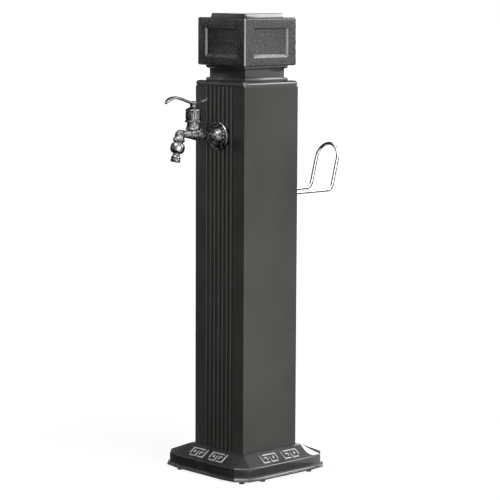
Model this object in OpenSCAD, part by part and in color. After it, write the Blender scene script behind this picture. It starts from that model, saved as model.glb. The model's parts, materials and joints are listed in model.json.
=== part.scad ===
// Garden standpipe: a square column with a fluted front on a cast base, with a
// panelled cap, a quarter-turn bib tap on the front and a wire hose hook behind.
// Millimetres. Z is up and the origin is on the column's axis at ground level.
// The tap faces -Y and the hose hook stands out of the +Y face.

/* [Column] */
// Side of the square column
column_w = 130; // [115:1:145]
// Wall of the column extrusion
column_wall = 3.5; // [3:0.25:5]
// Top of the column above the ground
column_top_z = 695; // [640:1:760]
// Number of flutes on the front face
flute_count = 7; // [3:1:8]
// Spacing of the flutes, centre to centre
flute_pitch = 10.9; // [9:0.1:12]
// Width of one flute
flute_w = 6.5; // [4:0.25:8]
// Depth of one flute
flute_depth = 1.8; // [1:0.1:2]
// Diameter of the screw ports in the column's inner corners
port_d = 9.5; // [9:0.25:12]

/* [Base] */
// Width of the base at its bottom lip
base_w = 228; // [215:1:260]
// Height of the base above its feet, at the column
base_h = 39; // [34:1:50]
// Height of the base's outer edge above its feet
base_edge_h = 24.5; // [20:0.5:28]
// Corner cut of the base
base_cut = 23; // [16:1:30]
// Wall of the base casting
base_wall = 5; // [4:0.5:6]
// Height of the rubber feet
foot_h = 3; // [2:0.5:6]
// Diameter of a rubber foot
foot_d = 10; // [7:0.5:12]
// Length of one key panel along the side of the base
key_panel_l = 39; // [32:0.5:44]
// Height of the raised key lines
key_h = 1.3; // [0.8:0.1:2]

/* [Ground plate] */
// Clearance between the steel ground plate's corners and the inside of the base
plate_gap = 2.5; // [2:0.25:5]
// Thickness of the ground plate
plate_t = 6; // [5:0.5:10]
// Distance of the ground anchor holes from the plate's edges
anchor_inset = 16; // [13:0.5:17]
// Diameter of the ground anchor holes
anchor_d = 11; // [9:0.5:13]

/* [Cap] */
// Overhang of the collar past each side of the column
collar_over = 1; // [0.5:0.25:4]
// Height of the collar
collar_h = 10; // [9:0.5:16]
// Width of the neck
neck_w = 94.5; // [85:0.5:98]
// Height of the neck with its two mouldings
neck_h = 27; // [22:0.5:36]
// Width of the neck's mouldings
moulding_w = 104; // [100:0.5:112]
// Width of the cap box
cap_w = 126; // [118:1:136]
// Height of the cap box
cap_h = 84.5; // [76:0.5:100]
// Wall of the cap box
cap_wall = 7; // [6:0.5:9]
// Width of the sunk panel in each side of the cap box
panel_w = 84; // [70:0.5:90]
// Height of that sunk panel
panel_h = 54; // [44:0.5:60]
// Depth of that sunk panel
panel_depth = 3.8; // [2:0.2:4.5]
// Width of the raised lid
lid_w = 94; // [84:0.5:102]
// Height of the raised lid
lid_h = 7.5; // [5:0.5:12]

/* [Tap] */
// Height of the tap's pipe above the ground
tap_z = 608; // [560:1:640]
// Distance of the tap's spindle from the column's front face
tap_reach = 62; // [58:0.5:72]
// Diameter of the wall flange
flange_d = 51; // [50.5:0.5:60]
// Diameter of the tap's pipe
pipe_d = 16; // [15.5:0.25:18]
// Diameter of the bonnet
bonnet_d = 27.5; // [27:0.25:32]
// Height of the bonnet
bonnet_h = 23; // [22:0.5:28]
// Distance of the spout from the spindle
spout_reach = 31; // [29:0.5:40]
// Lean of the outlet from the vertical
outlet_lean = 13; // [4:1:18]
// Diameter of the union nut across its corners
union_d = 24; // [23.5:0.25:28]
// Length of the lever's long arm
lever_front = 65; // [50:1:80]
// Length of the lever's short arm
lever_back = 33; // [24:1:44]

/* [Supply] */
// Outer diameter of the riser pipe
riser_d = 20; // [18:0.5:22]
// Wall of the riser pipe
riser_wall = 2; // [1.5:0.25:2.5]
// Distance of the riser from the column's front wall, to its axis
riser_inset = 28; // [26:0.5:34]

/* [Hose hook] */
// Diameter of the hook's wire
wire_d = 6; // [5:0.5:8]
// Spacing of the hook's two arms
hook_span = 55; // [44:1:64]
// Height of the hook's arms above the ground
hook_z = 498; // [440:1:560]
// Reach of the hook's arms out of the column
hook_reach = 123; // [105:1:160]
// Length of the hook's upright, along its lean
hook_upright = 86; // [70:1:110]
// Lean of the hook's upright
hook_lean = 15; // [5:1:20]

/* [Hidden] */

// Shared values
fine = 64;
soft = 32;
// Overrun of every cut, and the bite of two solids that are one casting
cut = 1;
bite = 0.5;
// Thickness of the thin slices that a hull spans
slice_t = 0.05;
// Angles of the steps of a rounded edge, and what a corner's radius has over its edge's
round_angles = [0, 45, 90];
round_spare = 0.5;
bowl_step = 15;
// Gap between pieces that fit without touching
gap = 0.3;
// Radial clearance of a screw or bolt in its hole
screw_gap = 0.2;
// Radial clearance of a shaft that turns in its bore
running_gap = 0.05;
// Radial clearance of a threaded piece in its thread
thread_gap = 0.1;
hex_flat_share = cos(30);

column_half = column_w / 2;
column_in = column_half - column_wall;
column_bottom_z = plate_t;
front_y = -column_half;
back_y = column_half;

// Screws in the corner ports, above and below
port_at = column_in - port_d / 2 + column_wall / 2;
port_screw_d = 5;
port_hole_d = port_screw_d + 2 * screw_gap;
port_head_d = 8.6;
port_head_h = 2.4;
port_screw_l = 16;

// The base: half widths of its lip, band and top edge, and their heights
base_z = foot_h;
lip_half = base_w / 2;
lip_h = 3.5;
band_in = 3.4;
band_half = lip_half - band_in;
band_low_h = 11;
edge_round = 2.6;
ledge_w = 6;
ledge_half = column_half + ledge_w;
side_taper = 4;
side_flat_share = 0.53;
slope_drop = base_h - base_edge_h;
slope_run = band_half - edge_round - ledge_half;
slope_angle = atan(slope_drop / slope_run);
key_slant = 14.5;
key_line = 2.6;
key_gap_half = 6.2;
key_panel_depth_share = 0.62;
key_start_share = 0.24;
// Bars of one key panel, from and to, as shares of its length and of its depth
key_bar_shares = [
    [[0, 0], [0, 1]], [[0, 0], [0.36, 0]],
    [[0.21, 1], [1, 1]], [[1, 1], [1, 0.31]],
    [[0.54, 0.62], [0.54, 0]], [[0.54, 0], [0.89, 0]],
    [[0.21, 0.62], [0.36, 0.62]], [[0.36, 0.62], [0.36, 0.38]],
    [[0.75, 0.62], [0.79, 0.44]]
];

// The ground plate clears the base's cut corners, and the corner feet clear the plate
plate_half = lip_half - base_wall - (side_taper + base_cut) / 2 - plate_gap;
plate_w = 2 * plate_half;
anchor_at = plate_half - anchor_inset;
foot_gap = 0.65;
foot_inset = 1;
foot_side_at = lip_half - foot_d / 2 - foot_inset;
foot_corner_at = plate_half + (foot_d / 2 + foot_gap) / sqrt(2);

// Supply
riser_y = front_y + column_wall + riser_inset;
riser_r = riser_d / 2;
inlet_lift = 4;
inlet_bottom_z = plate_t + inlet_lift;
inlet_thread_r = 9.3;
inlet_thread_l = 14;
inlet_land_l = 12;
riser_bottom_z = inlet_bottom_z + inlet_thread_l + inlet_land_l;
socket_l = 14;
socket_wall = 4;
coupling_top_z = riser_bottom_z + socket_l;
coupling_r = riser_r + socket_wall;
nut_h = 13;
nut_wall = 5.5;
nut_across = 2 * (riser_r + nut_wall);
olive_h = 4;
olive_t = 1.2;
supply_clear = 8;
supply_hole_d = 2 * (coupling_r + supply_clear);

// Elbow behind the column's front wall
elbow_r = 14.5;
elbow_socket_bottom = 24;
elbow_socket_l = 12;
elbow_wing_w = 50;
elbow_wing_t = 4;
elbow_thread_r = 10.5;
elbow_screw_at = 19;
elbow_screw_d = 4;
elbow_screw_head_d = 7.5;
elbow_screw_head_h = 2.2;
elbow_screw_l = 7;
riser_top_z = tap_z - elbow_socket_bottom + elbow_socket_l;
riser_nut_z = tap_z - elbow_socket_bottom - nut_h - gap;

// Spacers that hold the riser in the column
spacer_t = 8;
spacer_z_shares = [0.26, 0.56];

// Wall flange of the tap
flange_h = 10;
flange_wall = 2;
flange_cove_h = 5;
flange_boss_r = 13;
// Its turned profile, as shares of its radius and of its height
flange_shares = [
    [1, 0], [1, 0.42], [0.98, 0.55], [0.94, 0.64], [0.88, 0.68], [0.83, 0.65],
    [0.78, 0.71], [0.7, 0.8], [0.62, 0.86], [0.56, 0.87], [0.51, 0.93], [0.48, 1]
];

// The tap, measured from the crossing of its pipe and its spindle
spindle_y = front_y - tap_reach;
pipe_r = pipe_d / 2;
tail_r = elbow_thread_r - thread_gap;
tail_l = 15;
water_r = 5;
// Its pipe: length, foot and far end, where it runs into the ball
pipe_l_share = 0.5;
pipe_foot_l = 6;
pipe_foot_shares = [[1.5, 0], [1.47, 0.27], [1.17, 0.53], [1, 1]];
pipe_taper_l = 5;
pipe_end_share = 0.69;
swell_shares = [0.88, 0.94];
ball_r = 11.5;
ball_rise = 7.5;
seat_rise = 6;
seat_z = tap_z + seat_rise;
seat_r = 4;
under_seat_drop = 4;
way_r = 3.8;
way_end_r = 3.4;
chamber_r = 8.8;
neck_r = 10.9;
skirt_r = 13.3;
skirt_low = 14;
skirt_high = 24;
turned_ease = 0.8;
neck_rise = 40;
neck_top_z = tap_z + neck_rise;
arm_r = 6.5;
arm_bore_r = 3;
knuckle_r = 8.5;
knuckle_rise = 7;
knuckle_y = spindle_y - spout_reach;
knuckle_z = tap_z + knuckle_rise;

// Outlet, measured along its axis from the knuckle
ring_at = 7.5;
ring_h = 5;
ring_r = 10.6;
thread_r = 8.3;
thread_end = 25;
union_at = 16;
union_h = 17;
// Its bulged profile, as shares of its radius and of its height
union_shares = [[0.86, 0], [0.92, 0.08], [0.98, 0.32], [1, 0.5], [0.96, 0.68], [0.81, 0.9], [0.73, 1]];
washer_t = 1.5;
tail_flange_t = 2;
hose_stem_r = 6.3;
hose_barb_r = 8.3;
hose_bore_r = 5;
hose_barb_l = 5;
hose_tail_end = 49;
// Profile of the barb, as shares of its radius and of its length back from the end
barb_shares = [[0.88, 1.9], [0.86, 1.3], [1, 1.2], [1, 0.2], [0.9, 0]];

// Cartridge, bonnet and lever on the spindle's axis
seal_h = 2.4;
disc_r = 6.8;
disc_h = 3;
disc_port_share = 0.29;
cartridge_r = chamber_r - thread_gap;
cartridge_in_r = 7;
cartridge_flange_h = 2.5;
spindle_r = 4;
spindle_foot_r = 6.5;
spindle_foot_h = 3;
spindle_square = 5.6;
ring_tube_r = 0.9;
ring_groove_r = 2.9;
ring_squeeze_share = 0.6;
ring_drops = [4, 9];
bonnet_rise = 27;
bonnet_z = tap_z + bonnet_rise;
bonnet_r = bonnet_d / 2;
bonnet_ring_out = 1.3;
bonnet_ring_r = bonnet_r + bonnet_ring_out;
bonnet_ring_h = 3.5;
bonnet_rim_h = 2.8;
bonnet_in_r = neck_r + gap;
bonnet_top_z = bonnet_z + bonnet_h;
bonnet_dome_h = 3.6;
// The dome above the rim, as shares of the bonnet's radius and of the dome's height
bonnet_dome_shares = [[0.77, 0.45], [0.51, 0.8]];
hub_bottom_z = bonnet_top_z + bonnet_dome_h + gap;
hub_h = 6.4;
hub_low_r = 6.2;
hub_high_r = 8.2;
lever_z = hub_bottom_z + hub_h;
lever_t = 3;
lever_screw_r = 2;
lever_screw_head_r = 3.6;
lever_screw_head_h = 1.4;
lever_screw_l = 9;
lever_screw_top_share = 0.75;
// Side outline of the lever: shares of an arm's length and of the lever's rise, along the top
// from the long arm's tip to the short arm's tip
lever_rise = 11;
lever_top_shares = [
    [-1, 0.05], [-0.93, 0.45], [-0.82, 0.82], [-0.72, 0.98], [-0.62, 1], [-0.48, 0.85],
    [-0.3, 0.52], [-0.15, 0.22], [0, 0.05], [0.2, 0.02], [0.45, 0.12], [0.7, 0.3], [0.9, 0.48], [1, 0.55]
];
// The lever from above: shares of an arm's length and of the lever's widest half
lever_half_w = 8.5;
lever_plan_shares = [
    [-1, 0.1], [-0.97, 0.42], [-0.9, 0.74], [-0.78, 0.97], [-0.68, 1], [-0.55, 0.88], [-0.4, 0.68],
    [-0.26, 0.62], [-0.13, 0.9], [0, 0.97], [0.22, 0.8], [0.45, 0.6], [0.68, 0.68], [0.85, 0.66],
    [0.95, 0.45], [1, 0.12]
];

// Hook
wire_r = wire_d / 2;
wire_step = 0.05;
hook_bend_r = 12;
hook_end_in = 14;
hook_y = back_y + hook_reach;
hook_nut_wall = 2.25;
hook_nut_across = wire_d + 2 * hook_nut_wall;
hook_nut_h = 5;
hook_washer_w = 6;
hook_washer_r = wire_r + hook_washer_w;
hook_washer_t = 1.5;
backplate_t = 3;
backplate_h = 26;
backplate_margin = 14;

// Cap stack
collar_z = column_top_z;
neck_z = collar_z + collar_h;
cap_z = neck_z + neck_h;
lid_z = cap_z + cap_h;
collar_w = column_w + 2 * collar_over;
collar_round = 5.5;
collar_skirt_h = 10;
collar_skirt_w = 2 * (column_in - gap);
collar_skirt_t = 4;
collar_web_t = 5;
neck_wall = 6;
low_moulding_h = 5;
high_moulding_h = 6;
moulding_round = 1.6;
cap_round = 4;
cap_edge_r = 3.2;
panel_bevel = 7;
panel_drop = 1.5;
web_t = 5;
web_open_w = neck_w - 2 * neck_wall;
lid_ledge = 6;
lid_open_w = lid_w - 2 * lid_ledge;
lid_spigot_h = 5;
lid_round = 2;
tie_d = 8;
tie_hole_d = tie_d + 2 * screw_gap;
tie_boss_d = 18;
tie_boss_h = 12;
tie_washer_d = 20;
tie_washer_t = 1.6;
tie_nut_across = 13;
tie_nut_h = 6.5;
tie_stub = 4;
tie_bottom_z = collar_z + collar_h - collar_web_t - tie_washer_t - tie_nut_h - tie_stub;
tie_top_z = lid_z - lid_spigot_h;

steel = "dimgray";
coat = "darkslategray";
bronze = "slategray";
brass = "goldenrod";
rubber = "black";

// A square ring
module square_ring(outer, inner, h) {
    difference() {
        translate([-outer / 2, -outer / 2, 0])
            cube([outer, outer, h]);
        translate([-inner / 2, -inner / 2, -cut])
            cube([inner, inner, h + 2 * cut]);
    }
}

// A square block with rounded corners, and with its edges rounded above and, if below is 1, below
module soft_block(w, h, corner_r, edge_r, below = 0) {
    half = w / 2 - corner_r;
    hull()
        for (x = [-half, half], y = [-half, half], a = round_angles)
            translate([x, y, below * edge_r * (1 - sin(a))])
                cylinder(
                    r = corner_r - edge_r * (1 - cos(a)),
                    h = h - (1 + below) * edge_r * (1 - sin(a)),
                    $fn = soft
                );
}

// A hexagon nut with a round hole
module hex_nut(across, hole_r, h) {
    difference() {
        cylinder(d = across / hex_flat_share, h = h, $fn = 6);
        translate([0, 0, -cut])
            cylinder(r = hole_r, h = h + 2 * cut, $fn = fine);
    }
}

// A flat round washer
module washer(outer_r, hole_r, h) {
    difference() {
        cylinder(r = outer_r, h = h, $fn = fine);
        translate([0, 0, -cut])
            cylinder(r = hole_r, h = h + 2 * cut, $fn = fine);
    }
}

// A countersunk screw that points down from the top of its head
module sunk_screw(d, head_d, head_h, l) {
    rotate_extrude($fn = fine)
        polygon([
            [0, 0], [head_d / 2, 0], [head_d / 2, -head_h / 4], [d / 2, -head_h],
            [d / 2, -l + d / 4], [d / 4, -l], [0, -l]
        ]);
}

// The hole for such a screw
module sunk_hole(d, head_d, head_h, l) {
    rotate_extrude($fn = fine)
        polygon([
            [0, cut], [head_d / 2 + screw_gap, cut], [head_d / 2 + screw_gap, -head_h / 4],
            [d / 2 + screw_gap, -head_h], [d / 2 + screw_gap, -l], [0, -l]
        ]);
}

// Places children at the four corner ports of the column
module at_ports() {
    for (x = [-port_at, port_at], y = [-port_at, port_at])
        translate([x, y, 0])
            children();
}

// Ground plate, with its anchor holes, its screw holes and the supply's hole
module ground_plate() {
    color(steel)
        difference() {
            translate([-plate_w / 2, -plate_w / 2, 0])
                cube([plate_w, plate_w, plate_t]);
            for (x = [-anchor_at, anchor_at], y = [-anchor_at, anchor_at])
                translate([x, y, -cut])
                    cylinder(d = anchor_d, h = plate_t + 2 * cut, $fn = fine);
            at_ports()
                mirror([0, 0, 1])
                    sunk_hole(port_screw_d, port_head_d, port_head_h, plate_t + cut);
            translate([0, riser_y, -cut])
                cylinder(d = supply_hole_d, h = plate_t + 2 * cut, $fn = fine);
        }
}

module plate_screws() {
    color(steel)
        at_ports()
            translate([0, 0, screw_gap])
                mirror([0, 0, 1])
                    sunk_screw(port_screw_d, port_head_d, port_head_h, port_screw_l);
}

// Section of the column: a square tube with flutes in front and four screw ports
module column_section() {
    flute_r = (pow(flute_w / 2, 2) + pow(flute_depth, 2)) / (2 * flute_depth);
    difference() {
        union() {
            difference() {
                square(column_w, center = true);
                square(2 * column_in, center = true);
            }
            for (x = [-port_at, port_at], y = [-port_at, port_at])
                translate([x, y])
                    circle(d = port_d, $fn = fine);
        }
        for (i = [0 : flute_count - 1])
            translate([(i - (flute_count - 1) / 2) * flute_pitch, front_y - flute_r + flute_depth])
                circle(r = flute_r, $fn = fine);
        for (x = [-port_at, port_at], y = [-port_at, port_at])
            translate([x, y])
                circle(d = port_hole_d, $fn = fine);
    }
}

// Column, with the holes for the tap, its elbow's screws and the hook
module column_tube() {
    color(coat)
        difference() {
            translate([0, 0, column_bottom_z])
                linear_extrude(column_top_z - column_bottom_z)
                    column_section();
            translate([0, front_y - cut, tap_z])
                rotate([-90, 0, 0])
                    cylinder(r = elbow_thread_r + gap, h = column_wall + 2 * cut, $fn = fine);
            for (x = [-elbow_screw_at, elbow_screw_at])
                translate([x, front_y - cut, tap_z])
                    rotate([-90, 0, 0])
                        cylinder(d = elbow_screw_d + 2 * screw_gap, h = column_wall + 2 * cut, $fn = fine);
            for (x = [-hook_span / 2, hook_span / 2])
                translate([x, back_y + cut, hook_z])
                    rotate([90, 0, 0])
                        cylinder(r = wire_r + screw_gap, h = column_wall + 2 * cut, $fn = fine);
        }
}

// Outline of the base at a given half width, with its sides drawn in before the cut corners
function base_outline(half) = [
    for (turn = [0 : 3]) let (
        flat = side_flat_share * half,
        near = half - side_taper,
        far = half - base_cut,
        points = [[half, -flat], [half, flat], [near, far], [far, near]]
    ) for (p = points) [
        p[0] * cos(90 * turn) - p[1] * sin(90 * turn),
        p[0] * sin(90 * turn) + p[1] * cos(90 * turn)
    ]
];

// A thin slice of the base, as a child of a hull
module base_slice(half, z) {
    translate([0, 0, z])
        linear_extrude(slice_t)
            polygon(base_outline(half));
}

// The base's outer form, or its hollow, where inset is the wall
module base_form(inset) {
    hull() {
        base_slice(lip_half - inset, base_z);
        base_slice(lip_half - inset, base_z + lip_h);
        base_slice(band_half - inset, base_z + band_low_h);
    }
    hull() {
        base_slice(band_half - inset, base_z + lip_h);
        base_slice(band_half - inset, base_z + base_edge_h - edge_round - inset / 2);
        base_slice(band_half - edge_round - inset, base_z + base_edge_h - inset);
        translate([-ledge_half, -ledge_half, base_z + base_h - inset - slice_t])
            cube([2 * ledge_half, 2 * ledge_half, slice_t]);
    }
}

// One bar of the key pattern, between two points of its middle line
module key_bar(from, to) {
    low = [min(from[0], to[0]), min(from[1], to[1])];
    high = [max(from[0], to[0]), max(from[1], to[1])];
    translate(low)
        square(high - low + [key_line, key_line]);
}

// One key panel in the plane: a line that turns in on itself, and its mate
module key_panel(l, depth) {
    run = [l - key_line, depth - key_line];
    for (bar = key_bar_shares)
        key_bar([bar[0][0] * run[0], bar[0][1] * run[1]], [bar[1][0] * run[0], bar[1][1] * run[1]]);
}

// Both key panels of the +X side, raised on its slope
module key_side() {
    depth = key_panel_depth_share * slope_run / cos(slope_angle);
    start = ledge_half + key_start_share * slope_run;
    translate([start, 0, base_z + base_h - key_start_share * slope_drop])
        rotate([0, slope_angle, 0])
            translate([0, 0, -bite])
                linear_extrude(key_h + bite)
                    multmatrix([[1, 0, 0, 0], [-tan(key_slant), 1, 0, 0], [0, 0, 1, 0], [0, 0, 0, 1]])
                        for (y = [-key_gap_half - key_panel_l, key_gap_half])
                            translate([depth, y + tan(key_slant) * depth / 2])
                                rotate(90)
                                    key_panel(key_panel_l, depth);
}

// Cast base: a hollow form round the column, with key panels on its four slopes
module base_plinth() {
    color(coat)
        difference() {
            union() {
                base_form(0);
                key_side();
                mirror([1, 0, 0])
                    key_side();
                rotate(90)
                    key_side();
                rotate(-90)
                    mirror([0, 1, 0])
                        key_side();
            }
            translate([0, 0, -2 * slice_t])
                base_form(base_wall);
            translate([-column_half - gap, -column_half - gap, base_z])
                cube([column_w + 2 * gap, column_w + 2 * gap, base_h + cut]);
        }
}

// Rubber feet under the lip: two on each side along X, one on each side along Y, two on corners
module base_feet() {
    along = lip_half / 2;
    spots = [
        [foot_side_at, along], [foot_side_at, -along], [-along, -foot_side_at],
        [foot_corner_at, -foot_corner_at]
    ];
    color(rubber)
        for (s = [-1, 1], p = spots)
            translate([s * p[0], s * p[1], 0])
                cylinder(d = foot_d, h = foot_h, $fn = soft);
}

// Collar on the column, with a skirt inside the column and a web for the tie rod
module collar_plate() {
    clear = port_at * sqrt(2) - port_d;
    skirt_in = collar_skirt_w - 2 * collar_skirt_t;
    color(coat)
        difference() {
            union() {
                translate([0, 0, collar_z])
                    soft_block(collar_w, collar_h, collar_round + round_spare, collar_round);
                translate([0, 0, collar_z - collar_skirt_h])
                    intersection() {
                        square_ring(collar_skirt_w, skirt_in, collar_skirt_h + bite);
                        rotate(45)
                            translate([-clear, -clear, -cut])
                                cube([2 * clear, 2 * clear, collar_skirt_h + 2 * cut]);
                    }
            }
            translate([-web_open_w / 2, -web_open_w / 2, collar_z - cut])
                cube([web_open_w, web_open_w, collar_h - collar_web_t + cut]);
            cylinder(d = tie_hole_d, h = neck_z + cut, $fn = fine);
            at_ports()
                translate([0, 0, neck_z])
                    sunk_hole(port_screw_d, port_head_d, port_head_h, collar_h + cut);
        }
}

module collar_screws() {
    color(steel)
        at_ports()
            translate([0, 0, neck_z - screw_gap])
                sunk_screw(port_screw_d, port_head_d, port_head_h, port_screw_l + collar_h - plate_t);
}

// Neck: a hollow square casting with a moulding at each end
module neck_casting() {
    color(coat)
        difference() {
            union() {
                translate([0, 0, neck_z])
                    soft_block(moulding_w, low_moulding_h, moulding_round + round_spare, moulding_round);
                translate([-neck_w / 2, -neck_w / 2, neck_z])
                    cube([neck_w, neck_w, neck_h - bite]);
                translate([0, 0, cap_z])
                    mirror([0, 0, 1])
                        soft_block(
                            moulding_w, high_moulding_h, 2 * moulding_round + round_spare, 2 * moulding_round
                        );
            }
            translate([-web_open_w / 2, -web_open_w / 2, neck_z - cut])
                cube([web_open_w, web_open_w, neck_h + 2 * cut]);
        }
}

// The space of one sunk panel, on the +X face
module sunk_panel() {
    mouth_y = panel_w / 2 + panel_bevel / 2;
    mouth_z = panel_h / 2;
    floor_y = mouth_y - panel_bevel;
    floor_z = mouth_z - panel_bevel;
    spread = cut / panel_depth * panel_bevel;
    x_in = cap_w / 2 - panel_depth;
    x_out = cap_w / 2 + cut;
    intersection() {
        translate([0, 0, -mouth_z - spread])
            linear_extrude(2 * (mouth_z + spread))
                polygon([
                    [x_in, -floor_y], [x_out, -mouth_y - spread],
                    [x_out, mouth_y + spread], [x_in, floor_y]
                ]);
        translate([0, mouth_y + spread, 0])
            rotate([90, 0, 0])
                linear_extrude(2 * (mouth_y + spread))
                    polygon([
                        [x_in, -floor_z], [x_out, -mouth_z - spread],
                        [x_out, mouth_z + spread], [x_in, floor_z]
                    ]);
    }
}

// Cap box: a hollow casting with a sunk panel in each side
module cap_box() {
    inside = cap_w - 2 * cap_wall;
    color(coat)
        difference() {
            translate([0, 0, cap_z])
                soft_block(cap_w, cap_h, cap_round, cap_edge_r, 1);
            translate([-inside / 2, -inside / 2, cap_z + web_t])
                cube([inside, inside, cap_h - 2 * web_t]);
            translate([-web_open_w / 2, -web_open_w / 2, cap_z - cut])
                cube([web_open_w, web_open_w, web_t + 2 * cut]);
            translate([-lid_open_w / 2, -lid_open_w / 2, lid_z - web_t - cut])
                cube([lid_open_w, lid_open_w, web_t + 2 * cut]);
            for (side = [0 : 3])
                rotate(90 * side)
                    translate([0, 0, cap_z + cap_h / 2 - panel_drop])
                        sunk_panel();
        }
}

// Raised lid, with a spigot in the box and a boss that the tie rod screws into
module cap_lid() {
    spigot_w = lid_open_w - 2 * gap;
    color(coat)
        difference() {
            union() {
                translate([0, 0, lid_z])
                    soft_block(lid_w, lid_h, lid_round + round_spare, lid_round);
                translate([0, 0, lid_z - lid_spigot_h])
                    square_ring(spigot_w, spigot_w - 2 * lid_spigot_h, lid_spigot_h + bite);
                translate([0, 0, lid_z - tie_boss_h])
                    cylinder(d = tie_boss_d, h = tie_boss_h + bite, $fn = fine);
            }
            translate([0, 0, lid_z - tie_boss_h - cut])
                cylinder(d = tie_d + 2 * running_gap, h = tie_boss_h - lid_spigot_h + cut + gap, $fn = fine);
        }
}

module tie_rod() {
    color(steel)
        translate([0, 0, tie_bottom_z])
            cylinder(d = tie_d, h = tie_top_z - tie_bottom_z, $fn = fine);
}

module tie_washer() {
    color(steel)
        translate([0, 0, neck_z - collar_web_t - tie_washer_t])
            washer(tie_washer_d / 2, tie_hole_d / 2, tie_washer_t);
}

module tie_nut() {
    color(steel)
        translate([0, 0, neck_z - collar_web_t - tie_washer_t - tie_nut_h])
            hex_nut(tie_nut_across, tie_d / 2 + running_gap, tie_nut_h);
}

// Coupling at the foot of the riser: a threaded socket below and a pipe socket above
module inlet_coupling() {
    color(brass)
        translate([0, riser_y, 0])
            difference() {
                translate([0, 0, inlet_bottom_z])
                    cylinder(r = coupling_r, h = coupling_top_z - inlet_bottom_z, $fn = fine);
                translate([0, 0, inlet_bottom_z - cut])
                    cylinder(r = inlet_thread_r, h = inlet_thread_l + cut, $fn = fine);
                cylinder(r = riser_r - riser_wall, h = coupling_top_z, $fn = fine);
                translate([0, 0, riser_bottom_z - gap])
                    cylinder(r = riser_r + running_gap, h = coupling_top_z, $fn = fine);
            }
}

// A compression nut round the riser, with its closed end up
module riser_clamp_nut() {
    difference() {
        cylinder(d = nut_across / hex_flat_share, h = nut_h, $fn = 6);
        translate([0, 0, -cut])
            cylinder(r = riser_r + screw_gap, h = nut_h + 2 * cut, $fn = fine);
        translate([0, 0, -cut])
            cylinder(r = riser_r + olive_t + screw_gap, h = olive_h + gap + cut, $fn = fine);
    }
}

// A soft brass ring round the riser
module riser_clamp_olive() {
    rotate_extrude($fn = fine)
        translate([riser_r + running_gap, 0])
            polygon([[0, 0], [olive_t, olive_h / 3], [olive_t, olive_h * 2 / 3], [0, olive_h]]);
}

module inlet_nut() {
    color(brass)
        translate([0, riser_y, coupling_top_z])
            riser_clamp_nut();
}

module inlet_olive() {
    color(brass)
        translate([0, riser_y, coupling_top_z])
            riser_clamp_olive();
}

module riser_pipe() {
    color("silver")
        translate([0, riser_y, riser_bottom_z])
            washer(riser_r, riser_r - riser_wall, riser_top_z - riser_bottom_z);
}

module riser_nut() {
    color(brass)
        translate([0, riser_y, riser_nut_z + nut_h])
            mirror([0, 0, 1])
                riser_clamp_nut();
}

module riser_olive() {
    color(brass)
        translate([0, riser_y, riser_nut_z + nut_h])
            mirror([0, 0, 1])
                riser_clamp_olive();
}

// Elbow behind the front wall: a wing plate, a threaded socket and a pipe socket
module wall_elbow() {
    wing_y = front_y + column_wall;
    color(brass)
        difference() {
            union() {
                translate([0, wing_y, tap_z])
                    rotate([-90, 0, 0])
                        cylinder(r = elbow_r, h = riser_inset, $fn = fine);
                translate([0, riser_y, tap_z])
                    sphere(r = elbow_r, $fn = fine);
                translate([0, riser_y, tap_z - elbow_socket_bottom])
                    cylinder(r = elbow_r, h = elbow_socket_bottom, $fn = fine);
                translate([-elbow_wing_w / 2, wing_y, tap_z - elbow_r / 2])
                    cube([elbow_wing_w, elbow_wing_t, elbow_r]);
            }
            translate([0, wing_y - cut, tap_z])
                rotate([-90, 0, 0])
                    cylinder(r = elbow_thread_r, h = tail_l + 2 * cut, $fn = fine);
            translate([0, wing_y, tap_z])
                rotate([-90, 0, 0])
                    cylinder(r = water_r, h = riser_inset, $fn = fine);
            translate([0, riser_y, tap_z - elbow_socket_bottom - cut])
                cylinder(r = water_r, h = elbow_socket_bottom + cut, $fn = fine);
            translate([0, riser_y, tap_z - elbow_socket_bottom - cut])
                cylinder(r = riser_r + running_gap, h = elbow_socket_l + cut + gap, $fn = fine);
            for (x = [-elbow_screw_at, elbow_screw_at])
                translate([x, wing_y - cut, tap_z])
                    rotate([-90, 0, 0])
                        cylinder(r = elbow_screw_d / 2 + running_gap, h = elbow_wing_t + 2 * cut, $fn = fine);
        }
}

// Two screws that hold the elbow, with their heads under the wall flange
module elbow_screws() {
    color(steel)
        for (x = [-elbow_screw_at, elbow_screw_at])
            translate([x, front_y, tap_z])
                rotate([-90, 0, 0]) {
                    cylinder(d = elbow_screw_d, h = elbow_screw_l, $fn = fine);
                    translate([0, 0, -elbow_screw_head_h])
                        cylinder(d = elbow_screw_head_d, h = elbow_screw_head_h, $fn = fine);
                }
}

// Two square spacers that keep the riser in its place in the column
module pipe_spacers() {
    w = 2 * (column_in - gap);
    color("gainsboro")
        for (share = spacer_z_shares)
            translate([0, 0, share * column_top_z])
                difference() {
                    translate([-w / 2, -w / 2, 0])
                        cube([w, w, spacer_t]);
                    translate([0, riser_y, -cut])
                        cylinder(r = riser_r + screw_gap, h = spacer_t + 2 * cut, $fn = fine);
                    at_ports()
                        translate([0, 0, -cut])
                            cylinder(d = port_d + 2 * gap, h = spacer_t + 2 * cut, $fn = fine);
                    translate([0, column_in / 3, -cut])
                        cylinder(r = column_in / 2, h = spacer_t + 2 * cut, $fn = fine);
                }
}

// Wall flange: a domed, hollow ring with a thick rim, a carved cove and a raised boss round the pipe
module wall_flange() {
    r = flange_d / 2;
    hole_r = elbow_thread_r + gap;
    color(bronze)
        translate([0, front_y, tap_z])
            rotate([90, 0, 0])
                rotate_extrude($fn = fine)
                    polygon(concat(
                        [[r - flange_wall, 0]],
                        [for (p = flange_shares) [p[0] * r, p[1] * flange_h]],
                        [
                            [hole_r, flange_h], [hole_r, flange_h - flange_wall],
                            [flange_boss_r, flange_cove_h + flange_wall / 2],
                            [r - flange_wall, flange_cove_h - flange_wall]
                        ]
                    ));
}

// Places children on the spindle's axis, at the pipe's height
module at_spindle() {
    translate([0, spindle_y, 0])
        children();
}

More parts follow.
